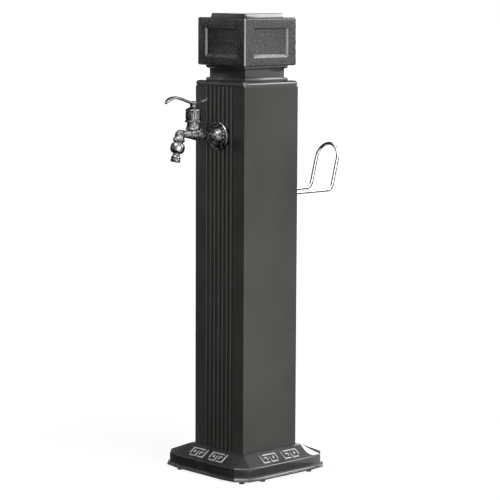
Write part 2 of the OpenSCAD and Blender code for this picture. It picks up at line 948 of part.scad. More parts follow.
// Places children on the outlet's axis, with Z along the flow
module at_outlet() {
    translate([0, knuckle_y, knuckle_z])
        rotate([180 - outlet_lean, 0, 0])
            children();
}

// A round bar between two points of the plane x = 0, each given as [y, z]
module bar_between(from, to, r1, r2) {
    run = to - from;
    translate([0, from[0], from[1]])
        rotate([atan2(run[1], run[0]) - 90, 0, 0])
            cylinder(r1 = r1, r2 = r2, h = norm(run), $fn = fine);
}

// Points of a round bottom for a turned profile, from its pole to its widest place
function bowl(r, at) = [for (a = [-90 : bowl_step : 0]) [r * cos(a), at + r * sin(a)]];

// Tap body: tail, pipe, valve chamber with its neck, spout arm and threaded outlet
module tap_body() {
    pipe_start = front_y - flange_h - gap;
    pipe_l = pipe_l_share * tap_reach;
    swell_from = [pipe_start - pipe_l / 2, tap_z];
    ball_at = [spindle_y, tap_z + ball_rise];
    knuckle_at = [knuckle_y, knuckle_z];
    bend_at = [pipe_start - pipe_l + water_r, tap_z];
    under_seat = [spindle_y, seat_z - under_seat_drop];
    color(bronze)
        difference() {
            union() {
                translate([0, front_y + column_wall + tail_l, tap_z])
                    rotate([90, 0, 0])
                        cylinder(r = tail_r, h = column_wall + tail_l + flange_h + gap, $fn = fine);
                translate([0, pipe_start, tap_z])
                    rotate([90, 0, 0])
                        rotate_extrude($fn = fine)
                            polygon(concat(
                                [[0, 0]],
                                [for (p = pipe_foot_shares) [p[0] * pipe_r, p[1] * pipe_foot_l]],
                                [
                                    [pipe_r, pipe_l - pipe_taper_l],
                                    [pipe_end_share * pipe_r, pipe_l], [0, pipe_l]
                                ]
                            ));
                bar_between(swell_from, ball_at, swell_shares[0] * pipe_r, swell_shares[1] * ball_r);
                translate([0, spindle_y, tap_z])
                    rotate_extrude($fn = fine)
                        polygon(concat(bowl(ball_r, ball_rise), [
                            [skirt_r - turned_ease, skirt_low], [skirt_r, skirt_low + turned_ease],
                            [skirt_r - turned_ease, skirt_low + 3 * turned_ease],
                            [neck_r, skirt_high], [neck_r, neck_rise], [0, neck_rise]
                        ]));
                bar_between(ball_at, knuckle_at, arm_r, arm_r);
                at_outlet()
                    rotate_extrude($fn = fine)
                        polygon(concat(bowl(knuckle_r, 0), [
                            [knuckle_r + turned_ease / 2, ring_at - turned_ease],
                            [ring_r - turned_ease, ring_at], [ring_r, ring_at + turned_ease],
                            [ring_r, ring_at + ring_h - turned_ease],
                            [ring_r - turned_ease, ring_at + ring_h], [thread_r, ring_at + ring_h],
                            [thread_r, thread_end], [0, thread_end]
                        ]));
            }
            translate([0, front_y + column_wall + tail_l + cut, tap_z])
                rotate([90, 0, 0])
                    cylinder(r = water_r, h = front_y + column_wall + tail_l + cut - bend_at[0], $fn = fine);
            bar_between(bend_at, under_seat, way_r, way_end_r);
            at_spindle()
                translate([0, 0, under_seat[1] - 2 * cut])
                    cylinder(r = seat_r, h = under_seat_drop + 2 * cut, $fn = fine);
            at_spindle()
                translate([0, 0, seat_z])
                    cylinder(r = chamber_r, h = neck_top_z - seat_z + cut, $fn = fine);
            bar_between(
                [spindle_y - chamber_r + cut, seat_z + arm_bore_r + cut], knuckle_at, arm_bore_r, arm_bore_r
            );
            at_outlet()
                translate([0, 0, cut - water_r])
                    cylinder(r = water_r, h = thread_end + water_r, $fn = fine);
        }
}

module seat_seal() {
    color(rubber)
        at_spindle()
            translate([0, 0, seat_z])
                washer(disc_r, seat_r, seal_h);
}

// A ceramic disc with two openings across its middle
module ceramic_disc(turn) {
    difference() {
        cylinder(r = disc_r, h = disc_h, $fn = fine);
        rotate(turn)
            for (x = [-disc_r / 2, disc_r / 2])
                translate([x, 0, -cut])
                    cylinder(r = disc_port_share * disc_r, h = disc_h + 2 * cut, $fn = fine);
    }
}

module disc_fixed() {
    color("white")
        at_spindle()
            translate([0, 0, seat_z + seal_h])
                ceramic_disc(90);
}

module disc_moving() {
    color("white")
        at_spindle()
            translate([0, 0, seat_z + seal_h + disc_h + gap])
                ceramic_disc(0);
}

// Cartridge: a sleeve over the discs that guides the spindle and is open towards the arm
module cartridge_body() {
    low = seat_z + seal_h / 2;
    chamber_top = seat_z + seal_h + 2 * disc_h + 2 * gap + spindle_foot_h + gap;
    color(brass)
        at_spindle()
            difference() {
                union() {
                    translate([0, 0, low])
                        cylinder(r = cartridge_r, h = neck_top_z - low + bite, $fn = fine);
                    translate([0, 0, neck_top_z])
                        cylinder(r = neck_r - gap, h = cartridge_flange_h, $fn = fine);
                }
                translate([0, 0, low - cut])
                    cylinder(r = cartridge_in_r, h = chamber_top - low + cut, $fn = fine);
                translate([0, 0, low])
                    cylinder(r = spindle_r + running_gap, h = neck_top_z, $fn = fine);
                translate([-arm_bore_r, -chamber_r - cut, seat_z + seal_h + disc_h + gap])
                    cube([2 * arm_bore_r, chamber_r, disc_h]);
            }
}

// Spindle: a foot that turns the moving disc, a round shaft with two grooves and a square end
module spindle() {
    foot_z = seat_z + seal_h + 2 * disc_h + 2 * gap;
    color("silver")
        at_spindle()
            difference() {
                union() {
                    translate([0, 0, foot_z])
                        cylinder(r = spindle_foot_r, h = spindle_foot_h, $fn = fine);
                    translate([0, 0, foot_z])
                        cylinder(r = spindle_r, h = hub_bottom_z - foot_z, $fn = fine);
                    translate([-spindle_square / 2, -spindle_square / 2, hub_bottom_z - bite])
                        cube([spindle_square, spindle_square, hub_h + bite]);
                }
                for (drop = ring_drops)
                    translate([0, 0, neck_top_z - drop])
                        rotate_extrude($fn = fine)
                            translate([ring_groove_r, 0])
                                square([spindle_r, 2 * ring_tube_r + gap]);
                translate([0, 0, lever_z - lever_screw_l + lever_t])
                    cylinder(r = lever_screw_r + running_gap, h = lever_screw_l, $fn = fine);
            }
}

// Two rubber rings in the spindle's grooves
module spindle_rings() {
    color(rubber)
        at_spindle()
            for (drop = ring_drops)
                translate([0, 0, neck_top_z - drop + ring_tube_r + gap / 2])
                    rotate_extrude($fn = fine)
                        translate([ring_groove_r + ring_squeeze_share * ring_tube_r + running_gap, 0])
                            square([ring_tube_r, 2 * ring_tube_r], center = true);
}

// Bonnet: a nut over the neck with a ring at its foot, a rim above and a domed top
module bonnet() {
    e = turned_ease;
    rim_r = bonnet_r + e / 2;
    ceiling = neck_top_z - bonnet_z + cartridge_flange_h + gap;
    top = bonnet_h + bonnet_dome_h;
    color(bronze)
        at_spindle()
            translate([0, 0, bonnet_z])
                rotate_extrude($fn = fine)
                    polygon(concat(
                        [
                            [bonnet_in_r, 0], [bonnet_ring_r - e, 0], [bonnet_ring_r, e],
                            [bonnet_ring_r, bonnet_ring_h - e], [bonnet_ring_r - e, bonnet_ring_h],
                            [bonnet_r - e / 2, bonnet_ring_h + e], [bonnet_r, bonnet_ring_h + 2 * e],
                            [bonnet_r, bonnet_h - bonnet_rim_h - e], [rim_r, bonnet_h - bonnet_rim_h],
                            [rim_r, bonnet_h - e], [rim_r - e, bonnet_h]
                        ],
                        [for (p = bonnet_dome_shares) [p[0] * bonnet_r, bonnet_h + p[1] * bonnet_dome_h]],
                        [
                            [hub_low_r, top], [spindle_r + gap, top],
                            [spindle_r + gap, ceiling], [bonnet_in_r, ceiling]
                        ]
                    ));
}

// Place along the lever for a share of one of its arms
function lever_at(share) = share < 0 ? share * lever_front : share * lever_back;

// Lever: a curved blade with a long and a short arm on a hub
module lever() {
    hole_w = spindle_square + 2 * screw_gap;
    top = [for (p = lever_top_shares) [lever_at(p[0]), lever_t + p[1] * lever_rise]];
    below = [for (i = [len(top) - 1 : -1 : 0]) [top[i][0], top[i][1] - lever_t]];
    plan = [
        for (p = lever_plan_shares) [p[1] * lever_half_w, lever_at(p[0])],
        for (i = [len(lever_plan_shares) - 1 : -1 : 0])
            [-lever_plan_shares[i][1] * lever_half_w, lever_at(lever_plan_shares[i][0])]
    ];
    color(bronze)
        at_spindle()
            difference() {
                union() {
                    translate([0, 0, lever_z])
                        intersection() {
                            rotate([90, 0, 90])
                                translate([0, 0, -2 * lever_half_w])
                                    linear_extrude(4 * lever_half_w)
                                        polygon(concat(top, below));
                            translate([0, 0, -cut])
                                linear_extrude(lever_rise + lever_t + 2 * cut)
                                    polygon(plan);
                        }
                    translate([0, 0, hub_bottom_z])
                        cylinder(r1 = hub_low_r, r2 = hub_high_r, h = hub_h + bite, $fn = fine);
                }
                translate([-hole_w / 2, -hole_w / 2, hub_bottom_z - cut])
                    cube([hole_w, hole_w, hub_h + cut + screw_gap]);
                translate([0, 0, hub_bottom_z])
                    cylinder(r = lever_screw_r + screw_gap, h = hub_h + lever_t + lever_rise, $fn = fine);
                translate([0, 0, lever_z + lever_t - lever_screw_head_h])
                    cylinder(r = lever_screw_head_r + screw_gap, h = lever_rise, $fn = fine);
            }
}

module lever_screw() {
    top_z = lever_z + lever_t;
    color(bronze)
        at_spindle() {
            translate([0, 0, top_z - lever_screw_head_h])
                cylinder(
                    r1 = lever_screw_head_r, r2 = lever_screw_top_share * lever_screw_head_r,
                    h = 2 * lever_screw_head_h, $fn = fine
                );
            translate([0, 0, top_z - lever_screw_l + gap])
                cylinder(r = lever_screw_r, h = lever_screw_l - lever_screw_head_h, $fn = fine);
        }
}

module union_washer() {
    color(rubber)
        at_outlet()
            translate([0, 0, thread_end])
                washer(thread_r - thread_gap, hose_bore_r, washer_t);
}

// Hose tail: a flange held by the union nut, a stem and a barb with a plain land
module hose_tail() {
    flange_at = thread_end + washer_t;
    flange_end = flange_at + tail_flange_t;
    color(bronze)
        at_outlet()
            rotate_extrude($fn = fine)
                polygon(concat(
                    [
                        [hose_bore_r, flange_at], [thread_r, flange_at], [thread_r, flange_end],
                        [hose_stem_r, flange_end], [hose_stem_r, hose_tail_end - 2 * hose_barb_l]
                    ],
                    [for (p = barb_shares) [p[0] * hose_barb_r, hose_tail_end - p[1] * hose_barb_l]],
                    [[hose_bore_r, hose_tail_end]]
                ));
}

// Union nut: a bulged six-sided ring that holds the tail's flange
module union_nut() {
    hold_at = thread_end + washer_t + tail_flange_t + running_gap;
    color(bronze)
        at_outlet()
            difference() {
                intersection() {
                    translate([0, 0, union_at])
                        cylinder(d = union_d, h = union_h, $fn = 6);
                    translate([0, 0, union_at])
                        rotate_extrude($fn = fine)
                            polygon(concat(
                                [[0, 0]],
                                [for (p = union_shares) [p[0] * union_d / 2, p[1] * union_h]],
                                [[0, union_h]]
                            ));
                }
                translate([0, 0, union_at - cut])
                    cylinder(r = thread_r + gap, h = hold_at - union_at + cut, $fn = fine);
                translate([0, 0, union_at])
                    cylinder(r = hose_stem_r + running_gap, h = union_h + cut, $fn = fine);
            }
}

// A bend of the wire about Z, from the X axis on, with its ends a little way into the straights
module wire_bend(bend_r, turn) {
    over = asin(bite / bend_r);
    rotate(-over)
        rotate_extrude(angle = turn + 2 * over, $fn = fine)
            translate([bend_r, 0])
                circle(r = wire_r - wire_step, $fn = soft);
}

// Hose hook: one wire, out of the column, up and over in a round arch
module hose_hook() {
    turn = 90 - hook_lean;
    lead = hook_bend_r * tan(turn / 2);
    arch_r = hook_span / 2;
    start = back_y - column_wall - hook_end_in;
    color("silver") {
        for (x = [-arch_r, arch_r]) {
            translate([x, start, hook_z])
                rotate([-90, 0, 0])
                    cylinder(r = wire_r, h = hook_y - lead - start, $fn = soft);
            translate([x, hook_y - lead, hook_z + hook_bend_r])
                rotate([0, 90, 0])
                    wire_bend(hook_bend_r, turn);
            translate([x, hook_y, hook_z])
                rotate([-hook_lean, 0, 0])
                    translate([0, 0, lead])
                        cylinder(r = wire_r, h = hook_upright - arch_r - lead, $fn = soft);
        }
        translate([0, hook_y, hook_z])
            rotate([-hook_lean, 0, 0])
                translate([0, 0, hook_upright - arch_r])
                    rotate([90, 0, 0])
                        wire_bend(arch_r, 180);
    }
}

// Places children at the hook's two holes, with Z out of the back face
module at_hook_holes(y) {
    for (x = [-hook_span / 2, hook_span / 2])
        translate([x, y, hook_z])
            rotate([-90, 0, 0])
                children();
}

module hook_washers() {
    color("silver")
        at_hook_holes(back_y)
            washer(hook_washer_r, wire_r + screw_gap, hook_washer_t);
}

module hook_outer_nuts() {
    color("silver")
        at_hook_holes(back_y + hook_washer_t)
            hex_nut(hook_nut_across, wire_r + running_gap, hook_nut_h);
}

module hook_backplate() {
    w = hook_span + 2 * backplate_margin;
    color(steel)
        difference() {
            translate([-w / 2, back_y - column_wall - backplate_t, hook_z - backplate_h / 2])
                cube([w, backplate_t, backplate_h]);
            at_hook_holes(back_y - column_wall - backplate_t - cut)
                cylinder(r = wire_r + screw_gap, h = backplate_t + 2 * cut, $fn = fine);
        }
}

module hook_inner_nuts() {
    color(steel)
        at_hook_holes(back_y - column_wall - backplate_t - hook_nut_h)
            hex_nut(hook_nut_across, wire_r + running_gap, hook_nut_h);
}

ground_plate();
plate_screws();
column_tube();
base_plinth();
base_feet();
collar_plate();
collar_screws();
neck_casting();
cap_box();
cap_lid();
tie_rod();
tie_washer();
tie_nut();
inlet_coupling();
inlet_nut();
inlet_olive();
riser_pipe();
riser_olive();
riser_nut();
wall_elbow();
elbow_screws();
pipe_spacers();
wall_flange();
tap_body();
seat_seal();
disc_fixed();
disc_moving();
cartridge_body();
spindle();
spindle_rings();
bonnet();
lever();
lever_screw();
union_washer();
hose_tail();
union_nut();
hose_hook();
hook_washers();
hook_outer_nuts();
hook_backplate();
hook_inner_nuts();
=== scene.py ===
"""Dresses the garden standpipe: its castings, its fluted column, its tap and its hose hook."""

from __future__ import annotations

import json
import logging
import math
from dataclasses import dataclass, field
from enum import Enum
from typing import Callable, Sequence

import bpy
from mathutils import Matrix, Quaternion, Vector

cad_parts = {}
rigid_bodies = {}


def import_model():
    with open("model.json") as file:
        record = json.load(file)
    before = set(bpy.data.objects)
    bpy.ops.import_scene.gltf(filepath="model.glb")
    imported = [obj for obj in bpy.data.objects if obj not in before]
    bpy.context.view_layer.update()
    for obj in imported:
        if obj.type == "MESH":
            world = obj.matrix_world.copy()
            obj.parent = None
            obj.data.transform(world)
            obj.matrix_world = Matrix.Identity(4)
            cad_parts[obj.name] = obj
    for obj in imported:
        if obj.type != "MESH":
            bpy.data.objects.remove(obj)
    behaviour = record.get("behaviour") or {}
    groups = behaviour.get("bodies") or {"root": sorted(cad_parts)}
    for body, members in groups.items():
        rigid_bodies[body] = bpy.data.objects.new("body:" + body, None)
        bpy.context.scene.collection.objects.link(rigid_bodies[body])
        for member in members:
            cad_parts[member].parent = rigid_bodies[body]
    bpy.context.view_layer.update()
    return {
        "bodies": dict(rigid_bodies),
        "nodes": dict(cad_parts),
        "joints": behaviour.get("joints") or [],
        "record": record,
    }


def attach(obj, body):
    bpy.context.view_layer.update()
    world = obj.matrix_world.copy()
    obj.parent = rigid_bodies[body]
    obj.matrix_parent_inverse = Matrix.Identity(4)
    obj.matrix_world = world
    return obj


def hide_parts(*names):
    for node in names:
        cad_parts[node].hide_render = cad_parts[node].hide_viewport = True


LOG = logging.getLogger("standpipe")
MM = 0.001
ABOVE_FLOOR = 0.001
Flat = tuple[float, float]
Point = tuple[float, float, float]
Ring = list[Point]
Colour = tuple[float, float, float]
Table = tuple[Flat, ...]
Form = Callable[[float, float, float], Flat]
Piece = bpy.types.Object
Tree = bpy.types.NodeTree
Socket = bpy.types.NodeSocket


# Rings and lofts


def arc(steps: int, start: float = 0.0, end: float = 90.0) -> list[Flat]:
    """Cosine and sine at equal steps from one angle in degrees to another, both included."""
    angles = [math.radians(start + (end - start) * step / steps) for step in range(steps + 1)]
    return [(math.cos(angle), math.sin(angle)) for angle in angles]


def rounded_square(half: float, radius: float, z: float, steps: int = 6) -> Ring:
    """A square ring with round corners.

    Args:
        half: half its width.
        radius: radius of its corners.
        z: its height.
        steps: pieces of each corner.

    Returns:
        Its points, anticlockwise from the +X side.
    """
    ring: Ring = []
    out = (half - radius) * math.sqrt(2)
    for turn in range(4):
        centre = math.radians(90 * turn + 45)
        for step in range(steps + 1):
            angle = math.radians(90 * turn + 90 * step / steps)
            ring.append((
                out * math.cos(centre) + radius * math.cos(angle),
                out * math.sin(centre) + radius * math.sin(angle),
                z,
            ))
    return ring


def circle(radius: float, z: float, count: int = 64) -> Ring:
    """A round ring about Z, at a height."""
    turns = [2 * math.pi * i / count for i in range(count)]
    return [(radius * math.cos(turn), radius * math.sin(turn), z) for turn in turns]


def circles(steps: Table, count: int = 64, lift: float = 0.0) -> list[Ring]:
    """The rings of a turned part.

    Args:
        steps: its radius and height at each ring.
        count: points of each ring.
        lift: how much higher the rings lie.

    Returns:
        The rings.
    """
    return [circle(radius, z + lift, count) for radius, z in steps]


def carved(steps: Sequence[Sequence[float]], count: int, form: Form) -> list[Ring]:
    """The rings of a turned part that is shaped round its axis.

    Args:
        steps: radius, height and depth of the carving at each ring.
        count: points of each ring.
        form: a point's radius and rise, for the ring's radius and depth and for an angle.

    Returns:
        The rings.
    """
    rings: list[Ring] = []
    for radius, height, depth in steps:
        ring: Ring = []
        for x, y, z in circle(1.0, height, count):
            out, rise = form(radius, depth, math.atan2(y, x))
            ring.append((x * out, y * out, z + rise))
        rings.append(ring)
    return rings


def placed(rings: Sequence[Ring], place: Matrix) -> list[Ring]:
    """Rings moved by a matrix."""
    return [[tuple(place @ Vector(p)) for p in ring] for ring in rings]


def read(table: Table, share: float, eased: bool = False) -> float:
    """A table's value at a share, read between its points.

    Args:
        table: shares in rising order, each with its value.
        share: where it is read.
        eased: whether the value leaves and reaches each point softly.

    Returns:
        The value.
    """
    for (a, u), (b, v) in zip(table, table[1:]):
        if a <= share <= b:
            t = (share - a) / (b - a)
            return u + (v - u) * (t * t * (3 - 2 * t) if eased else t)
    return table[-1][1]


class Bench:
    """The few steps of hand modelling that every piece goes through."""

    @staticmethod
    def clear() -> None:
        """Leaves nothing selected, in object mode."""
        if bpy.context.object and bpy.context.object.mode != "OBJECT":
            bpy.ops.object.mode_set(mode="OBJECT")
        bpy.ops.object.select_all(action="DESELECT")

    @staticmethod
    def take(piece: Piece) -> None:
        """Makes one piece the only selected and the active one."""
        Bench.clear()
        piece.select_set(True)
        bpy.context.view_layer.objects.active = piece

    @staticmethod
    def loft(name: str, rings: Sequence[Ring], cap: bool = True, closed: bool = False) -> Piece:
        """A skin over rings: a circle is extruded once a ring, and each level is then set to its ring.

        Args:
            name: the piece's name.
            rings: rings of equal count, in millimetres.
            cap: whether both ends are filled.
            closed: whether the last ring is joined to the first.

        Returns:
            The piece, in metres.
        """
        Bench.clear()
        levels = [*rings, rings[0]] if closed else list(rings)
        filled = cap and not closed
        count = len(rings[0])
        bpy.ops.mesh.primitive_circle_add(
            vertices=count, radius=1.0, fill_type="NGON" if filled else "NOTHING")
        piece = bpy.context.object
        piece.name = name
        piece.data.name = name
        bpy.ops.object.mode_set(mode="EDIT")
        bpy.ops.mesh.select_mode(type="VERT")
        bpy.ops.mesh.select_all(action="SELECT")
        up = {"value": (0, 0, 1)}
        for _ in levels[1:]:
            if filled:
                bpy.ops.mesh.extrude_region_move(TRANSFORM_OT_translate=up)
            else:
                bpy.ops.mesh.extrude_edges_move(TRANSFORM_OT_translate=up)
        bpy.ops.object.mode_set(mode="OBJECT")
        for vert in piece.data.vertices:
            turn = math.atan2(vert.co.y, vert.co.x) / (2 * math.pi) - 0.25
            vert.co = Vector(levels[round(vert.co.z)][round(turn * count) % count]) * MM
        Bench.close(piece)
        return piece

    @staticmethod
    def close(piece: Piece) -> None:
        """Merges a piece's doubled points and turns its faces outwards."""
        Bench.take(piece)
        bpy.ops.object.mode_set(mode="EDIT")
        bpy.ops.mesh.select_all(action="SELECT")
        bpy.ops.mesh.remove_doubles(threshold=0.01 * MM)
        bpy.ops.mesh.normals_make_consistent(inside=False)
        bpy.ops.object.mode_set(mode="OBJECT")

    @staticmethod
    def apply(piece: Piece, kind: str, **values: object) -> None:
        """Adds one modifier to a piece, sets it and applies it."""
        Bench.take(piece)
        modifier = piece.modifiers.new(kind.title(), kind)
        for key, value in values.items():
            setattr(modifier, key, value)
        bpy.ops.object.modifier_apply(modifier=modifier.name)

    @staticmethod
    def bevel(piece: Piece, width: float, angle: float) -> None:
        """Rounds edges sharper than an angle in degrees, by a width in millimetres."""
        Bench.apply(
            piece, "BEVEL", width=width * MM, segments=2, limit_method="ANGLE",
            angle_limit=math.radians(angle), use_clamp_overlap=True,
        )

    @staticmethod
    def cut(piece: Piece, tool: Piece) -> None:
        """Takes a tool's shape out of a piece and removes the tool."""
        Bench.apply(piece, "BOOLEAN", object=tool, operation="DIFFERENCE", solver="EXACT")
        bpy.data.objects.remove(tool)

    @staticmethod
    def melt(piece: Piece, voxel: float, factor: float, rounds: int) -> None:
        """Runs a joined piece together into one casting.

        Args:
            piece: the piece.
            voxel: size of the grid that it is drawn on again, in millimetres.
            factor: how strongly it is then smoothed.
            rounds: how often it is smoothed.
        """
        Bench.apply(piece, "REMESH", mode="VOXEL", voxel_size=voxel * MM, adaptivity=0.0)
        Bench.apply(piece, "SMOOTH", factor=factor, iterations=rounds)

    @staticmethod
    def join(name: str, parts: Sequence[Piece]) -> Piece:
        """Joins parts into one piece under a new name."""
        Bench.take(parts[0])
        for part in parts:
            part.select_set(True)
        bpy.ops.object.join()
        piece = bpy.context.object
        piece.name = name
        piece.data.name = name
        return piece

    @staticmethod
    def smooth(piece: Piece, angle: float) -> None:
        """Shades a piece smooth, with edges sharper than an angle in degrees left sharp."""
        Bench.take(piece)
        bpy.ops.object.shade_smooth_by_angle(angle=math.radians(angle))


# Shader groups and finishes


class Wires:
    """Adds nodes to one shader tree and links them."""

    def __init__(self, tree: Tree) -> None:
        """Works on a tree."""
        self.tree = tree

    def feed(self, node: bpy.types.Node, sockets: dict[str | int, object]) -> None:
        """Sets a node's inputs, by name or place, to constants or to the outputs that feed them."""
        for key, value in sockets.items():
            if isinstance(value, Socket):
                self.tree.links.new(value, node.inputs[key])
            else:
                node.inputs[key].default_value = value

    def add(self, kind: str, sockets: dict[str | int, object], **settings: object) -> bpy.types.Node:
        """Adds one node.

        Args:
            kind: its type, without its first word.
            sockets: what its inputs get.
            settings: its own settings, which come before its inputs.

        Returns:
            The node.
        """
        node = self.tree.nodes.new(f"ShaderNode{kind}")
        for key, value in settings.items():
            setattr(node, key, value)
        self.feed(node, sockets)
        return node

    def place(self) -> Socket:
        """Object coordinates."""
        return self.add("TexCoord", {}).outputs["Object"]

    def maths(self, operation: str, first: object, second: object) -> Socket:
        """The result of an operation on two values."""
        return self.add("Math", {0: first, 1: second}, operation=operation).outputs[0]

    def span(self, value: Socket, low: object, high: object, to: Flat = (0.0, 1.0)) -> Socket:
        """A value of one range, mapped to another."""
        return self.add("MapRange", {
            "Value": value, "From Min": low, "From Max": high, "To Min": to[0], "To Max": to[1],
        }).outputs["Result"]

    def mix(self, factor: object, first: object, second: object, kind: str = "FLOAT") -> Socket:
        """Two values or colours, mixed by a factor."""
        node = self.add("Mix", {"Factor": factor, "A": first, "B": second}, data_type=kind)
        return node.outputs["Result"]

    def bump(self, height: Socket, depth: float, **under: Socket) -> Socket:
        """The normal of a relief whose depth is in millimetres, over another normal if one is given."""
        return self.add("Bump", {"Height": height, "Distance": depth * MM, **under}).outputs["Normal"]

    def glow(self, shader: bpy.types.Node, colour: Colour, strength: object) -> None:
        """Sets a shader to a matt colour with a white glow."""
        self.feed(shader, {
            "Base Color": (*colour, 1.0), "Roughness": 0.9, "Specular IOR Level": 0.0,
            "Emission Color": (1, 1, 1, 1), "Emission Strength": strength,
        })


def blank_material(name: str) -> tuple[bpy.types.Material, Wires, bpy.types.Node]:
    """A new material, the wires of its tree and its shader."""
    material = bpy.data.materials.new(name)
    material.use_nodes = True
    return material, Wires(material.node_tree), material.node_tree.nodes["Principled BSDF"]


class Effect(Enum):
    """Surface effects that several finishes share."""

    GRAIN = "grain"
    MOTTLE = "mottle"
    SCROLL = "scroll"
    WEAR = "wear"
    CORNER = "corner"


class Effects:
    """Builds each shared effect once, as a shader group."""

    def __init__(self) -> None:
        """Starts with no group built."""
        self._built: dict[Effect, Tree] = {}
        self._makers: dict[Effect, Callable[[], Tree]] = {
            Effect.GRAIN: self._grain,
            Effect.MOTTLE: self._mottle,
            Effect.SCROLL: self._scroll,
            Effect.WEAR: self._coat_edges_and_painted_shade,
            Effect.CORNER: self._corner,
        }

    def use(self, wires: Wires, effect: Effect, **values: float) -> bpy.types.bpy_prop_collection:
        """Puts an effect into a material.

        Args:
            wires: the material's wires.
            effect: the effect, whose group is built when it is first asked for.
            values: the inputs that differ from the group's own.

        Returns:
            The effect's outputs.
        """
        if effect not in self._built:
            self._built[effect] = self._makers[effect]()
        return wires.add("Group", values, node_tree=self._built[effect]).outputs

    @staticmethod
    def _group(name: str, inputs: dict[str, float], *outputs: str) -> tuple:
        """An empty group of float sockets: its wires, its inputs and its end."""
        tree = bpy.data.node_groups.new(name, "ShaderNodeTree")
        for label, value in inputs.items():
            socket = tree.interface.new_socket(name=label, in_out="INPUT", socket_type="NodeSocketFloat")
            socket.default_value = value
        for label in outputs:
            tree.interface.new_socket(name=label, in_out="OUTPUT", socket_type="NodeSocketFloat")
        return Wires(tree), tree.nodes.new("NodeGroupInput").outputs, tree.nodes.new("NodeGroupOutput")

    def _grain(self) -> Tree:
        """Fine grain of a sprayed or sand-cast surface: a height from 0 to 1."""
        wires, entry, leave = self._group("surface grain", {"Scale": 900.0, "Coarse": 0.3}, "Height")
        place = wires.place()
        lower = wires.maths("MULTIPLY", entry["Scale"], 0.22)
        fine = wires.add("TexNoise", {
            "Vector": place, "Scale": entry["Scale"], "Detail": 3.0, "Roughness": 0.6})
        coarse = wires.add("TexNoise", {"Vector": place, "Scale": lower, "Detail": 2.0})
        wires.feed(leave, {
            "Height": wires.mix(entry["Coarse"], fine.outputs["Fac"], coarse.outputs["Fac"])})
        return wires.tree

    def _mottle(self) -> Tree:
        """Slow, cloudy change over a surface: a mask from 0 to 1."""
        wires, entry, leave = self._group(
            "slow mottle", {"Scale": 30.0, "Low": 0.35, "High": 0.65}, "Mask")
        cloud = wires.add("TexNoise", {"Vector": wires.place(), "Scale": entry["Scale"], "Detail": 5.0})
        wires.feed(leave, {"Mask": wires.span(cloud.outputs["Fac"], entry["Low"], entry["High"])})
        return wires.tree

    def _scroll(self) -> Tree:
        """Carved leaf scrolls: a height from 0 in the cuts to 1 on the leaves."""
        wires, entry, leave = self._group("carved scrolls", {"Scale": 170.0, "Bend": 0.012}, "Height")
        place = wires.place()
        warp = wires.add("TexNoise", {"Vector": place, "Scale": 90.0, "Detail": 1.0})
        centre = wires.add(
            "VectorMath", {0: warp.outputs["Color"], 1: (0.5, 0.5, 0.5)}, operation="SUBTRACT")
        push = wires.add(
            "VectorMath", {0: centre.outputs["Vector"], "Scale": entry["Bend"]}, operation="SCALE")
        bent = wires.add("VectorMath", {0: place, 1: push.outputs["Vector"]}, operation="ADD")
        cells = wires.add("TexVoronoi", {
            "Vector": bent.outputs["Vector"], "Scale": entry["Scale"], "Smoothness": 0.3,
        }, feature="SMOOTH_F1")
        curl = wires.maths("MULTIPLY", cells.outputs["Distance"], 11.0)
        wave = wires.add("Math", {0: curl}, operation="SINE")
        wires.feed(leave, {"Height": wires.span(wave.outputs[0], -0.7, 0.7)})
        return wires.tree

    def _coat_edges_and_painted_shade(self) -> Tree:
        """Outer edges and inner corners: a mask of outer edges, where a coat thins and a highlight is
        painted, and an openness that is 0 in inner corners, where shade is painted.
        """
        wires, entry, leave = self._group(
            "edge wear", {"Radius": 0.0012, "Reach": 0.006}, "Edge", "Open")
        # The outer edge mask: a thinned coat, and a painted highlight along the edges.
        soft = wires.add("Bevel", {"Radius": entry["Radius"]}, samples=4)
        true = wires.add("NewGeometry", {})
        same = wires.add("VectorMath", {
            0: soft.outputs["Normal"], 1: true.outputs["Normal"]}, operation="DOT_PRODUCT")
        # Closeness of other surfaces, from which shade is painted into inner corners.
        clear = wires.add("AmbientOcclusion", {"Distance": entry["Reach"]}, samples=6, only_local=True)
        opened = wires.span(clear.outputs["AO"], 0.75, 0.97)
        edge = wires.span(same.outputs["Value"], 0.995, 0.90)
        wires.feed(leave, {"Edge": wires.maths("MULTIPLY", edge, opened), "Open": opened})
        return wires.tree

    def _corner(self) -> Tree:
        """Upright round corners: a mask that is 1 where a side turns into the next, along which a
        highlight is painted.
        """
        wires, entry, leave = self._group("upright corners", {"Low": 0.3, "High": 0.5}, "Mask")
        true = wires.add("NewGeometry", {})
        size = wires.add("VectorMath", {0: true.outputs["Normal"]}, operation="ABSOLUTE")
        parts = wires.add("SeparateXYZ", {"Vector": size.outputs["Vector"]}).outputs
        least = wires.maths("MINIMUM", parts["X"], parts["Y"])
        wires.feed(leave, {"Mask": wires.span(least, entry["Low"], entry["High"])})
        return wires.tree


